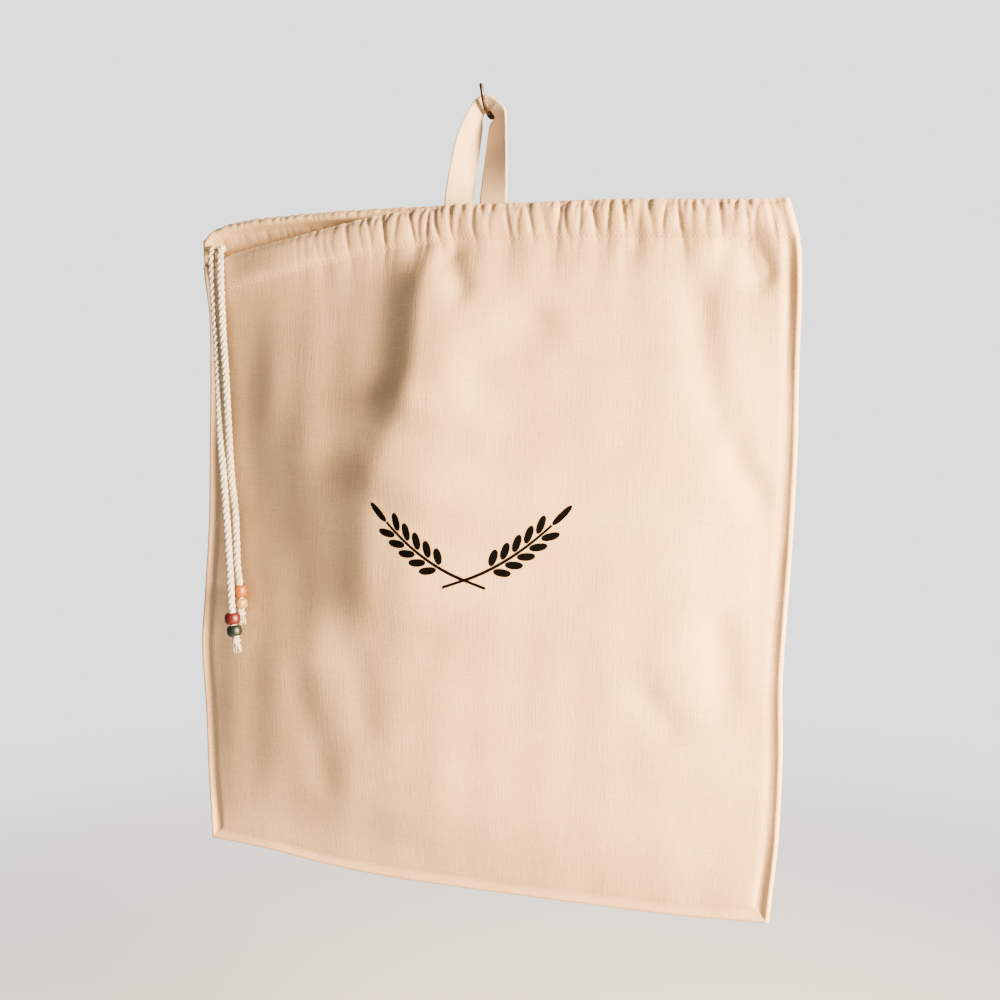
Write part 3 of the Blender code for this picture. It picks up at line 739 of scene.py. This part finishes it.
def cord_finish():
    """Soft cotton yarns that lie slanted in each ply."""
    finish = Finish("cord_finish", {"Sheen Weight": 0.5, "Specular IOR Level": 0.15})
    flat = finish.pattern()
    around, along = finish.parts(flat)[:2]
    yarn = ((around * 1000.0 * 7.0 + along * 1.9) * (2.0 * math.pi / 7.0)).sine()
    fluff = finish.noise(finish.here(), 1.7, 3.0, 0.65)
    dull = 0.20 - yarn * 0.16 + (fluff - 0.5) * 0.35
    finish.set("Base Color", finish.blend(dull.between(0.0, 1.0), CORD_WHITE, CORD_DULL))
    finish.set("Roughness", 0.9 + (fluff - 0.5) * 0.1)
    finish.bump(yarn * 0.5 + fluff, 0.2)
    return finish.material


def brass_finish():
    """Darkened brass wire, bright where it is rubbed."""
    finish = Finish("brass_finish", {"Metallic": 1.0})
    here = finish.here()
    cloud = finish.noise(here, 0.35, 4.0, 0.6)
    scratch = finish.stretched(here, (0.25, 3.0, 3.0), 2.0)
    tarnish = (cloud * 1.3 + (scratch - 0.5) * 0.5).step(0.45, 0.85)
    finish.set("Base Color", finish.blend(tarnish, BRASS, BRASS_DARK))
    finish.set("Roughness", 0.24 + tarnish * 0.3)
    finish.bump(scratch + cloud, 0.03)
    return finish.material


def bead_finish(name):
    """Turned wood under satin paint, thin enough for its grain to show."""
    bright, deep = PAINTS[name]
    finish = Finish(name + "_finish", {"Coat Weight": 0.16, "Coat Roughness": 0.28})
    here = finish.here()
    grain = finish.stretched(here, (0.55, 0.55, 5.0), 3.0)
    cloud = finish.noise(here, 0.3, 2.0)
    share = (grain * 1.5 - 0.45 + (cloud - 0.5) * 0.5).between(0.0, 1.0)
    finish.set("Base Color", finish.blend(share, bright, deep))
    finish.set("Roughness", 0.34 + grain * 0.18)
    finish.bump(grain, 0.10)
    return finish.material


def floor_finish():
    """A pale floor that fades away from the middle."""
    finish = Finish("floor_finish", {"Specular IOR Level": 0.2})
    place = finish.node("ShaderNodeTexCoord", {}, {}, "Object")
    far = finish.node("ShaderNodeVectorMath", {"operation": "LENGTH"}, {0: place}, "Value")
    grain = finish.noise(place, 180.0, 3.0)
    finish.set("Base Color", finish.blend(grain * 0.15, FLOOR_PALE, (0.56, 0.57, 0.58)))
    finish.set("Roughness", 0.8 + (grain - 0.5) * 0.1)
    finish.set("Alpha", 1.0 - far.step(0.25, 1.35))
    return finish.material


def fold_height(folds, x, z):
    """How far all the folds together lift the cloth."""
    total = np.zeros_like(x)
    for fold in folds:
        run_x = fold.end_x - fold.top_x
        run_z = fold.end_z - fold.top_z
        length = math.hypot(run_x, run_z)
        from_x = x - fold.top_x
        from_z = z - fold.top_z
        share = np.clip((from_x * run_x + from_z * run_z) / length ** 2, 0.0, 1.0)
        aside = (from_x * -run_z + from_z * run_x) / length
        aside = aside - fold.bow * np.sin(math.pi * share)
        reach = np.where(aside < 0.0, fold.left, fold.right)
        fade = ease(share / FOLD_FADE) * ease((1.0 - share) / FOLD_FADE)
        total += fold.height * fade * np.exp(-(aside / reach) ** 2)
    return total


def panel_face(share, z, side):
    """Places on the inner face of a panel, as the solid has it."""
    left = read_table(SECTIONS, "z", "left_x", z)
    right = read_table(SECTIONS, "z", "right_x", z)
    x = mix(left, right, share)
    seam = read_table(SECTIONS, "z", "seam_y", z)
    power = read_table(SECTIONS, "z", "round", z)
    turned = share ** (math.log(0.5) / math.log(PEAK_AT))
    crown = np.maximum(np.sin(math.pi * turned), 0.0) ** power
    bottom = read_table(BOTTOM_EDGE, "x", "z", x)
    mask = ease(np.minimum(share, 1.0 - share) / FOLD_SIDE_FADE) * ease((z - bottom) / FOLD_LOW_FADE)
    half = SEAM_GAP / 2.0
    if side == "front":
        deep = read_table(SECTIONS, "z", "front_y", z)
        y = mix(seam - half, np.minimum(deep, seam - half), crown) - fold_height(FRONT_FOLDS, x, z) * mask
    else:
        deep = read_table(SECTIONS, "z", "back_y", z)
        y = mix(seam + half, np.maximum(deep, seam + half), crown) - fold_height(BACK_FOLDS, x, z) * mask
    return x, y, seam


def gather_strength(x, side):
    """How strongly the casing is gathered: flat where the tape is sewn on."""
    if side == "front":
        return mix(CALM_GATHER, 1.0, ease((x - CALM_LEFT_OF) / CALM_RUN))
    return mix(0.15, 1.0, ease((np.abs(x - SEWN_MIDDLE) - SEWN_HALF) / SEWN_RUN))


def gather_depth(x, down, side):
    """How far the creases and puckers draw the cloth in, by the way down."""
    chance = random.Random(CREASE_SEED[side])
    total = np.zeros_like(x)
    below = np.maximum(down - HEM_HEIGHT, 0.0)
    on_hem = np.clip(down / HEM_HEIGHT, 0.0, 1.0)
    profile = mix(CREASE_AT_RIM, 1.0, ease(on_hem / 0.4))
    profile = mix(profile, CREASE_AT_STITCHES, ease((on_hem - 0.6) / 0.4))
    at = SECTIONS[0].left_x + chance.uniform(*RIM_STEP)
    while at < SECTIONS[0].right_x:
        depth = chance.uniform(*RIM_DEPTH)
        width = chance.uniform(*RIM_WIDTH)
        slant = chance.uniform(-RIM_SLANT, RIM_SLANT)
        run = chance.uniform(*RIM_RUN)
        path = at + slant * down / run
        fade = np.exp(-(down / run) ** 2)
        total += depth * fade * np.exp(-(np.abs(x - path) / width) ** CREASE_SHARPNESS)
        at += chance.uniform(*RIM_STEP)
    at = SECTIONS[0].left_x + chance.uniform(*CREASE_STEP)
    way = 1.0
    while at < SECTIONS[0].right_x:
        depth = chance.uniform(*CREASE_DEPTH)
        width = chance.uniform(*CREASE_WIDTH)
        slant = way * chance.uniform(*CREASE_SLANT)
        way = -way if chance.random() < 0.7 and at > CREASE_LEANS_LEFT_OF else 1.0
        run = chance.uniform(*CREASE_RUN)
        bend = chance.uniform(-CREASE_BEND, CREASE_BEND)
        path = at + slant * (down / HEM_HEIGHT - 0.5) * np.exp(-below / 40.0)
        path = path + bend * np.sin(down / HEM_HEIGHT * math.pi)
        wide = width * (1.0 + below / CREASE_SPREAD)
        fade = np.exp(-(below / run) ** 1.6)
        total += depth * profile * fade * np.exp(-(np.abs(x - path) / wide) ** CREASE_SHARPNESS)
        at += chance.uniform(*CREASE_STEP)
    at = SECTIONS[0].left_x + chance.uniform(*PUCKER_STEP)
    while at < SECTIONS[0].right_x:
        depth = chance.uniform(*PUCKER_DEPTH)
        width = chance.uniform(*PUCKER_WIDTH)
        run = chance.uniform(*PUCKER_RUN)
        lean = chance.uniform(-0.25, 0.25)
        path = at + lean * below
        fade = np.exp(-(below / run) ** 1.5) * ease(down / HEM_HEIGHT)
        total += depth * fade * np.exp(-((x - path) / (width + below * 0.12)) ** 2)
        at += chance.uniform(*PUCKER_STEP)
    return total * gather_strength(x, side)


def unevenness(x, z, side):
    """Low waves all over a panel."""
    chance = random.Random(CREASE_SEED[side] + 1)
    total = np.zeros_like(x)
    for wave in range(WAVES):
        length = chance.uniform(*WAVE_LENGTH)
        turn = chance.uniform(0.0, math.pi)
        start = chance.uniform(0.0, 2.0 * math.pi)
        place = x * math.cos(turn) + z * 0.6 * math.sin(turn)
        total += WAVE_HEIGHT * np.sin(2.0 * math.pi * place / length + start)
    return total


def edge_steps():
    """Distances from an edge: a quarter round, then even steps that widen."""
    steps = [EDGE_RADIUS * (1.0 - math.cos(math.radians(turn))) for turn in (0.0, 22.5, 45.0, 67.5, 90.0)]
    step = 0.7
    while steps[-1] < 9.0:
        steps.append(steps[-1] + step)
        step = min(step * 1.12, COLUMN_STEP)
    return steps


# A row of a panel: its height, how far it stands off the inner face, how far it is
# down from the rim, 1 on the turned-over inner layer, and how far it rolls forward
PanelRow = namedtuple("PanelRow", "z offset down inside roll")


def build_panel(side, materials):
    """One panel with its turned-over casing, as a sheet of cloth."""
    outward = -1.0 if side == "front" else 1.0
    reference = SECTIONS[4].right_x - SECTIONS[4].left_x
    near = edge_steps()
    count = int(round((reference - 2.0 * near[-1]) / COLUMN_STEP))
    middle = np.linspace(near[-1], reference - near[-1], count + 1)[1:-1]
    from_left = np.concatenate([near, middle, reference - np.array(near[::-1])])
    share = from_left / reference
    to_side = np.minimum(from_left, reference - from_left)
    top_x = mix(SECTIONS[0].left_x, SECTIONS[0].right_x, share)
    low_x = mix(SECTIONS[-1].left_x, SECTIONS[-1].right_x, share)
    top = read_table(TOP_EDGE, "x", side + "_z", top_x)
    low = read_table(BOTTOM_EDGE, "x", "z", low_x)
    end = HEM_ENDS[side]
    full = ease((top_x - end.left) / end.left_run) * ease((end.right - top_x) / end.right_run)
    swell = read_table(HEM_ROWS, "down", "swell", 0.0)
    rim_out = CLOTH_MIDDLE + HEM_THICK * swell * full
    rim_in = np.full_like(full, HEM_INSIDE)
    half = (rim_out - rim_in) / 2.0

    rows = []

    def add_row(z, offset, down, inside, roll=0.0):
        spread = [np.broadcast_to(value, z.shape) for value in (offset, down, roll)]
        rows.append(PanelRow(z, spread[0], spread[1], inside, spread[2]))

    roll = ease((ROLL_RIGHT - top_x) / ROLL_RUN) if side == "back" else np.zeros_like(top_x)
    for v in np.linspace(1.0, 0.0, INSIDE_ROW_COUNT + 1)[:-1]:
        offset = mix(rim_in, HEM_TUCK, ease(v * 1.4)) - 0.5 * full * math.sin(math.pi * v) * (1.0 - roll)
        curl = math.sin(math.pi * min(v / ROLL_SHARE, 1.0)) ** 0.8
        hollow = math.sin(math.pi * max(v - ROLL_SHARE, 0.0) / (1.0 - ROLL_SHARE))
        offset = offset + roll * ROLL_HOLLOW * hollow
        add_row(top - half - (HEM_HEIGHT - half) * v, offset, HEM_HEIGHT * v, 1.0, roll * ROLL_OUT * curl)
    for k in range(RIM_ROW_COUNT + 1):
        turn = math.pi * k / RIM_ROW_COUNT
        offset = (rim_out + rim_in) / 2.0 - half * math.cos(turn)
        add_row(top - half + half * math.sin(turn), offset, 0.0, 1.0 - k / RIM_ROW_COUNT)
    for v in np.linspace(0.0, 1.0, HEM_ROW_COUNT + 1)[1:]:
        bulge = float(read_table(HEM_ROWS, "down", "swell", v))
        add_row(top - half - (HEM_HEIGHT - half) * v, CLOTH_MIDDLE + HEM_THICK * bulge * full,
                HEM_HEIGHT * v, 0.0)
    fine = [FINE_STEP]
    step = FINE_STEP
    while fine[-1] < FINE_REACH:
        step = min(step * FINE_GROWTH, 5.0)
        fine.append(fine[-1] + step)
    start = top - HEM_HEIGHT
    settle = HEM_THICK * HEM_ROWS[-1].swell
    for below in fine:
        add_row(start - below, CLOTH_MIDDLE + settle * full * math.exp(-below / 4.0),
                HEM_HEIGHT + below, 0.0)
    near_low = edge_steps()
    for t in np.linspace(0.0, 1.0, BODY_ROW_COUNT + 1)[1:]:
        z = mix(start - fine[-1], low + near_low[-1], t)
        add_row(z, CLOTH_MIDDLE, top - z, 0.0)
    for above_low in near_low[-2::-1]:
        z = low + above_low
        add_row(z, CLOTH_MIDDLE, top - z, 0.0)

    shape = (len(rows), len(share))
    z = np.array([row.z for row in rows])
    offset = np.array([row.offset for row in rows])
    down = np.array([row.down for row in rows])
    inside = np.array([row.inside for row in rows])[:, None] * np.ones(shape)
    x, face, seam = panel_face(np.broadcast_to(share, shape), z, side)

    depth = gather_depth(x, down, side) * ease(np.broadcast_to(to_side, shape) / 10.0)
    on_hem = down <= HEM_HEIGHT
    sewn = ease((down / HEM_HEIGHT - 0.5) / 0.5)
    inner_move = mix(0.45 * depth, -depth, sewn)
    move = np.where(on_hem, mix(-depth, inner_move, inside), -depth)
    settled = ease((down - HEM_HEIGHT) / 30.0)
    to_low = z - low[None, :]
    y = face + outward * (offset + move) + outward * unevenness(x, z, side) * settled
    rim_drop = np.where(on_hem, 0.55 * depth * (1.0 - down / HEM_HEIGHT) ** 2, 0.0)
    z_out = z - rim_drop

    def round_off(distance):
        """How far round an edge the cloth has come, and 1 away from it."""
        return np.sqrt(np.maximum(1.0 - np.clip(1.0 - distance / EDGE_RADIUS, 0.0, 1.0) ** 2, 0.0))

    side_way = np.broadcast_to(to_side, shape)
    edge_way = np.minimum(side_way, to_low)
    stand = outward * (y - seam)
    stand = mix(np.maximum(stand, EDGE_RADIUS), stand, ease((edge_way - EDGE_RADIUS) / 4.0))
    bulge = EDGE_BULGE * np.exp(-((edge_way - EDGE_BULGE_AT) / EDGE_BULGE_WIDE) ** 2)
    deep = np.exp(-((down - EDGE_DEEP_DOWN) / EDGE_DEEP_RUN) ** 2) + np.exp(-(to_low / EDGE_DEEP_RUN) ** 2)
    groove = EDGE_GROOVE * np.exp(-((edge_way - EDGE_GROOVE_AT) / EDGE_GROOVE_WIDE) ** 2)
    groove = groove * (1.0 + EDGE_DEEP * deep * (side_way < to_low))
    on_wall = 1.0 - inside
    stand = (stand + (bulge - groove) * on_wall) * round_off(side_way) * round_off(to_low)
    y = seam + outward * np.maximum(stand, 0.05)
    roll_end = np.clip(1.0 - side_way / ROLL_END, 0.0, 1.0)
    y = y - np.array([row.roll for row in rows]) * np.sqrt(1.0 - roll_end ** 2)

    points = np.stack([x, y, z_out], axis=2)
    turned_over = 2.0 * top - z + RIM_LENGTH
    flat_z = np.where(inside == 1.0, turned_over, z + RIM_LENGTH * inside)
    flat_x = np.broadcast_to(from_left + SECTIONS[4].left_x, shape)
    places = np.stack([flat_x + PATTERN_SHIFT[0], flat_z + PATTERN_SHIFT[1]], axis=2)
    cloth = Shape()
    cloth.grid(points, places, flip=side == "front")
    name = "bag_" + side
    panel = cloth.make(name, *materials)
    thicken(panel, CLOTH, 1)
    stitch_row = next(k for k, row in enumerate(rows)
                      if row.inside == 0.0 and row.down[0] >= HEM_HEIGHT - STITCH_UP)
    stitches = build_stitch_row(name + "_stitches", points[stitch_row], outward, materials[1])
    return panel, stitches


def add_stitch(shape, start, end, lift):
    """One thread dash that dips into the cloth at both ends."""
    start = np.asarray(start, float)
    end = np.asarray(end, float)
    lift = np.asarray(lift, float)
    line = [start + (end - start) * t + lift * h
            for t, h in ((0.0, -0.1), (0.18, 0.32), (0.5, 0.45), (0.82, 0.32), (1.0, -0.1))]
    shape.tube(line, [STITCH_RADIUS * s for s in (0.7, 1.0, 1.0, 1.0, 0.7)], STITCH_SIDES)


def build_stitch_row(name, line, outward, material):
    """A row of stitches along a line of points on the cloth."""
    shape = Shape()
    lengths = np.concatenate([[0.0], np.cumsum(np.linalg.norm(np.diff(line, axis=0), axis=1))])
    at = 6.0
    lift = (0.0, outward, 0.0)
    while at < lengths[-1] - 6.0:
        ends = [[float(np.interp(where, lengths, line[:, axis])) for axis in range(3)]
                for where in (at, at + STITCH_LENGTH)]
        add_stitch(shape, ends[0], ends[1], lift)
        at += STITCH_PITCH
    return shape.make(name, material)


def tape_station(share):
    """Middle, edge direction, face direction and section of the tape."""
    last = len(TAPE_ROWS) - 1
    Station = namedtuple("Station", "share x y z turn tilt cup")
    table = [Station(k / last, *row) for k, row in enumerate(TAPE_ROWS)]
    value = {name: float(read_table(table, "share", name, share)) for name in TapeRow._fields}
    later = min(share + TAPE_LOOK, 1.0)
    sooner = max(share - TAPE_LOOK, 0.0)
    ahead = Vector([float(read_table(table, "share", axis, later)) for axis in "xyz"])
    behind = Vector([float(read_table(table, "share", axis, sooner)) for axis in "xyz"])
    along = (ahead - behind).normalized()
    turn = math.radians(value["turn"])
    tilt = math.radians(value["tilt"])
    edge = Vector((math.sin(turn) * math.cos(tilt), -math.cos(turn) * math.cos(tilt), math.sin(tilt)))
    edge = (edge - along * edge.dot(along)).normalized()
    middle = Vector((value["x"], value["y"], value["z"]))
    return middle, along, edge, along.cross(edge), max(value["cup"], 0.0)


def build_tape(material, thread):
    """The sewn tape that goes over the hook, cupped where the wire holds it."""
    across = np.linspace(-0.5, 0.5, TAPE_COLUMNS)
    points = np.empty((TAPE_STEPS + 1, TAPE_COLUMNS, 3))
    places = np.empty((TAPE_STEPS + 1, TAPE_COLUMNS, 2))
    length = 0.0
    before = None
    stations = []
    for k in range(TAPE_STEPS + 1):
        middle, along, edge, face, cup = tape_station(k / TAPE_STEPS)
        chord = TAPE_WIDTH - 8.0 / 3.0 * cup ** 2 / TAPE_WIDTH
        if before is not None:
            length += (middle - before).length
        before = middle
        stations.append((length, middle, along, edge, face))
        for c, way in enumerate(across):
            points[k, c] = middle + edge * way * chord - face * cup * (2.0 * way) ** 2
            places[k, c] = (way * TAPE_WIDTH, length)
    shape = Shape()
    shape.grid(points, places)
    tape = shape.make("hanging_tape", material)
    thicken(tape, TAPE_THICK)
    stitches = Shape()
    for first in (True, False):
        for inset in (2.0, TAPE_SEWN - 2.0):
            wanted = inset if first else length - inset
            way = min(stations, key=lambda station: abs(station[0] - wanted))
            middle, edge, face = way[1], way[3], way[4]
            out = Vector((0.0, 1.0, 0.0))
            spread = TAPE_WIDTH / 2.0 - 1.6
            at = -spread
            while at + STITCH_LENGTH <= spread:
                base = middle + out * (TAPE_THICK / 2.0)
                add_stitch(stitches, base + edge * at, base + edge * (at + STITCH_LENGTH), out)
                at += STITCH_PITCH
    seams = stitches.make("tape_stitches", thread)
    return tape, seams, length


def build_cord(name, route, material):
    """Three twisted plies along a cord's route."""
    line = smooth_line(route, PLY_PITCH / PLY_STEPS)
    side, up = line_frames(line)[1:]
    way = np.arange(len(line)) * 2.0 * math.pi / PLY_STEPS
    shape = Shape()
    for ply in range(PLIES):
        turn = way + 2.0 * math.pi * ply / PLIES
        centre = line + (side * np.cos(turn)[:, None] + up * np.sin(turn)[:, None]) * PLY_CENTRE
        shape.tube(centre, PLY_RADIUS, PLY_SIDES)
    return shape.make(name, material), line


def nearest_direction(line, place):
    k = int(np.argmin(np.linalg.norm(line - np.asarray(place), axis=1)))
    along = line[min(k + 2, len(line) - 1)] - line[max(k - 2, 0)]
    return Vector(along).normalized()


def turned_bead():
    """A bead one unit wide and tall, turned about Z, drilled through."""
    bpy.ops.object.select_all(action="DESELECT")
    bpy.ops.mesh.primitive_circle_add(vertices=BEAD_SIDES, radius=0.5 * BEAD_BORE / 10.0, location=(0, 0, -0.42))
    bead = bpy.context.object
    bpy.ops.object.mode_set(mode="EDIT")
    bpy.ops.mesh.select_all(action="SELECT")
    outline = ((0.62, -0.5), (0.78, -0.47), (0.93, -0.33), (1.0, -0.14), (1.0, 0.14),
               (0.93, 0.33), (0.78, 0.47), (0.62, 0.5), (0.5, 0.42))
    width = BEAD_BORE / 10.0
    height = -0.42
    for wide, high in outline:
        bpy.ops.mesh.extrude_edges_move(TRANSFORM_OT_translate={"value": (0, 0, high - height)})
        bpy.ops.transform.resize(value=(wide / width, wide / width, 1.0), center_override=(0, 0, high))
        width = wide
        height = high
    bpy.ops.mesh.select_all(action="DESELECT")
    bpy.ops.mesh.select_mode(type="EDGE")
    bpy.ops.mesh.select_non_manifold()
    bpy.ops.mesh.bridge_edge_loops()
    bpy.ops.mesh.select_all(action="SELECT")
    bpy.ops.mesh.normals_make_consistent(inside=False)
    bpy.ops.object.mode_set(mode="OBJECT")
    bpy.ops.object.transform_apply(location=True, rotation=True, scale=True)
    smooth = bead.modifiers.new("round", "SUBSURF")
    smooth.levels = 1
    smooth.render_levels = 1
    bpy.ops.object.modifier_apply(modifier=smooth.name)
    bpy.ops.object.shade_smooth()
    return bead


def place_bead(pattern, bead, line):
    """A copy of the bead with its own mesh, at its own size and place."""
    low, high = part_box(bead.name)
    middle = (Vector(low) + Vector(high)) / 2.0
    along = nearest_direction(line, middle / MM)
    turn = Vector((0, 0, -1)).rotation_difference(along).to_matrix().to_4x4()
    size = Matrix.Diagonal((bead.diameter * MM, bead.diameter * MM, bead.height * MM, 1.0))
    mesh = pattern.data.copy()
    mesh.transform(Matrix.Translation(middle) @ turn @ size)
    mesh.materials.clear()
    mesh.materials.append(bead_finish(bead.name))
    thing = bpy.data.objects.new(bead.name + "_turned", mesh)
    bpy.context.scene.collection.objects.link(thing)
    return thing


def build_tuft(name, line, material, seed):
    """A stopper knot of the cord itself, and its frayed strands."""
    chance = random.Random(seed)
    end = Vector(line[-1])
    along = (Vector(line[-1] - line[-5]).normalized() + Vector((0, 0, -1))).normalized()
    side = along.cross(Vector((0, 1, 0))).normalized()
    up = along.cross(side)
    shape = Shape()
    turns = 1.7
    loop = []
    for k in range(34):
        t = k / 33
        angle = 2.0 * math.pi * turns * t
        wide = 1.75 * math.sin(math.pi * min(max(t, 0.08), 0.92)) ** 0.25
        spot = end + along * (0.9 + 2.6 * t) + (side * math.cos(angle) + up * math.sin(angle)) * wide
        loop.append(tuple(spot))
    shape.tube(loop, 1.12, 10)
    for strand in range(STRANDS):
        angle = chance.uniform(0.0, 2.0 * math.pi)
        start = 1.3 * math.sqrt(chance.random())
        spread = start + STRAND_SPREAD * chance.uniform(0.3, 0.75)
        length = STRAND_LENGTH * chance.uniform(0.72, 1.0)
        bend = chance.uniform(-0.5, 0.5)
        points = []
        for k in range(7):
            t = k / 6
            way = angle + bend * t
            wide = mix(start, spread, math.sin(0.5 * math.pi * t))
            spot = end + along * (2.2 + length * t) + (side * math.cos(way) + up * math.sin(way)) * wide
            points.append(tuple(spot))
        shape.tube(points, [STRAND_RADIUS * r for r in (1, 1, 1, 0.95, 0.9, 0.8, 0.5)], 5)
    return shape.make(name, material)


def build_hook(material):
    """A round collar with a flat wall face, and the bent wire that leaves it."""
    wire = HOOK_WIRE / 2.0 * MM
    collar = HOOK_COLLAR / 2.0 * MM
    bpy.ops.object.select_all(action="DESELECT")
    bpy.ops.mesh.primitive_circle_add(vertices=HOOK_SIDES, radius=collar - 0.0002, fill_type="NGON",
                                      location=(0, 0, 0), rotation=(math.radians(90.0), 0, 0))
    hook = bpy.context.object
    hook.name = "hook_wire"
    bpy.ops.object.transform_apply(location=True, rotation=True, scale=True)
    bpy.ops.object.mode_set(mode="EDIT")
    bpy.ops.mesh.select_mode(type="FACE")
    bpy.ops.mesh.select_all(action="SELECT")
    radius = collar - 0.0002
    place = 0.0
    profile = ((collar, -0.0002), (collar, -0.0008), (collar - 0.0003, -0.00112), (collar - 0.0008, -0.0012),
               (wire + 0.0007, -0.0012), (wire + 0.00025, -0.00135), (wire, -0.0017))
    for wide, y in profile:
        bpy.ops.mesh.extrude_region_move(TRANSFORM_OT_translate={"value": (0, y - place, 0)})
        bpy.ops.transform.resize(value=(wide / radius, 1.0, wide / radius), center_override=(0, y, 0))
        radius = wide
        place = y
    line = smooth_line([(0.0, point.y, point.z) for point in HOOK_ROUTE], HOOK_STEP) * MM
    middle = np.array((0.0, place, 0.0))
    facing = math.atan2(0.0, -1.0)
    for k in range(len(line)):
        ahead = line[min(k + 1, len(line) - 1)]
        behind = line[max(k - 1, 0)]
        bpy.ops.mesh.extrude_region_move(TRANSFORM_OT_translate={"value": tuple(line[k] - middle)})
        wanted = math.atan2(ahead[2] - behind[2], ahead[1] - behind[1])
        turn = (wanted - facing + math.pi) % (2.0 * math.pi) - math.pi
        bpy.ops.transform.rotate(value=-turn, orient_axis="X", center_override=tuple(line[k]))
        facing = wanted
        middle = line[k]
    tip = Vector((0.0, math.cos(facing), math.sin(facing)))
    for forward, wide in ((0.00045, 0.86), (0.0003, 0.70), (0.00015, 0.5)):
        bpy.ops.mesh.extrude_region_move(TRANSFORM_OT_translate={"value": tuple(tip * forward)})
        middle = middle + np.array(tip) * forward
        bpy.ops.transform.resize(value=(wide, wide, wide), center_override=tuple(middle))
    bpy.ops.mesh.select_all(action="SELECT")
    bpy.ops.mesh.normals_make_consistent(inside=False)
    bpy.ops.object.mode_set(mode="OBJECT")
    bpy.ops.object.shade_smooth_by_angle(angle=math.radians(40.0))
    hook.data.materials.append(material)
    return hook


def finish_piece(piece, slot, *nodes):
    """A piece rides on the one body, and the solid's nodes it stands in for are hidden."""
    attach(piece, BODY)
    if nodes:
        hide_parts(*nodes)


def add_camera():
    data = bpy.data.cameras.new("camera")
    data.lens = CAMERA_LENS
    data.sensor_width = CAMERA_SENSOR
    camera = bpy.data.objects.new("camera", data)
    camera.location = CAMERA_PLACE
    camera.rotation_euler = [math.radians(angle) for angle in CAMERA_TURN]
    bpy.context.scene.collection.objects.link(camera)
    bpy.context.scene.camera = camera


def add_light(name, place, aim, size, spread, power, colour):
    data = bpy.data.lights.new(name, "AREA")
    data.shape = "DISK"
    data.size = size
    data.spread = math.radians(spread)
    data.energy = power
    data.color = colour
    light = bpy.data.objects.new(name, data)
    light.location = place
    light.rotation_euler = (Vector(aim) - Vector(place)).to_track_quat("-Z", "Y").to_euler()
    bpy.context.scene.collection.objects.link(light)


def add_world():
    """Even pale surroundings: dim as light, pale where they are seen."""
    world = bpy.data.worlds.new("studio")
    world.use_nodes = True
    tree = world.node_tree
    soft = tree.nodes["Background"]
    soft.inputs["Color"].default_value = (*AIR_LIGHT, 1.0)
    soft.inputs["Strength"].default_value = AIR_STRENGTH
    seen = tree.nodes.new("ShaderNodeBackground")
    seen.inputs["Color"].default_value = (*FLOOR_PALE, 1.0)
    seen.inputs["Strength"].default_value = AIR_SEEN
    path = tree.nodes.new("ShaderNodeLightPath")
    choose = tree.nodes.new("ShaderNodeMixShader")
    tree.links.new(path.outputs["Is Camera Ray"], choose.inputs[0])
    tree.links.new(soft.outputs[0], choose.inputs[1])
    tree.links.new(seen.outputs[0], choose.inputs[2])
    tree.links.new(choose.outputs[0], tree.nodes["World Output"].inputs["Surface"])
    bpy.context.scene.world = world


def add_floor():
    bpy.ops.object.select_all(action="DESELECT")
    bpy.ops.mesh.primitive_circle_add(vertices=64, radius=2.0, fill_type="NGON", location=(0, 0, -0.70))
    floor = bpy.context.object
    floor.name = "floor"
    floor.data.materials.append(floor_finish())


def build_all():
    add_camera()
    cord_cotton = cord_finish()
    pattern = turned_bead()
    seeds = {"cord_left": 5, "cord_right": 8}
    for name, route in (("cord_left", CORD_LEFT_ROUTE), ("cord_right", CORD_RIGHT_ROUTE)):
        cord, line = build_cord(name + "_plies", route, cord_cotton)
        finish_piece(cord, "cord", name)
        for bead in BEAD_SIZES:
            if bead.name in BEADS[name]:
                turned = place_bead(pattern, bead, line)
                finish_piece(turned, WOOD_SLOTS[bead.name], bead.name)
        tuft = build_tuft(KNOTS[name] + "_tuft", line, cord_cotton, seeds[name])
        finish_piece(tuft, "cord", KNOTS[name])
    bpy.data.objects.remove(pattern)

    cloth = cloth_finish("cloth_finish", printed=False)
    printed = cloth_finish("printed_cloth_finish", printed=True)
    for side, materials in (("front", (printed, cloth)), ("back", (cloth, cloth))):
        panel, stitches = build_panel(side, materials)
        finish_piece(panel, "bag_cloth", "bread_bag")
        finish_piece(stitches, "bag_cloth")

    tape, seams, length = build_tape(tape_finish(), cloth)
    finish_piece(tape, "tape", "hanging_loop")
    finish_piece(seams, "tape")
    hook = build_hook(brass_finish())
    finish_piece(hook, "hook_metal", "hook")

    add_floor()
    add_world()
    for light in LIGHTS:
        add_light(*light)


build_all()
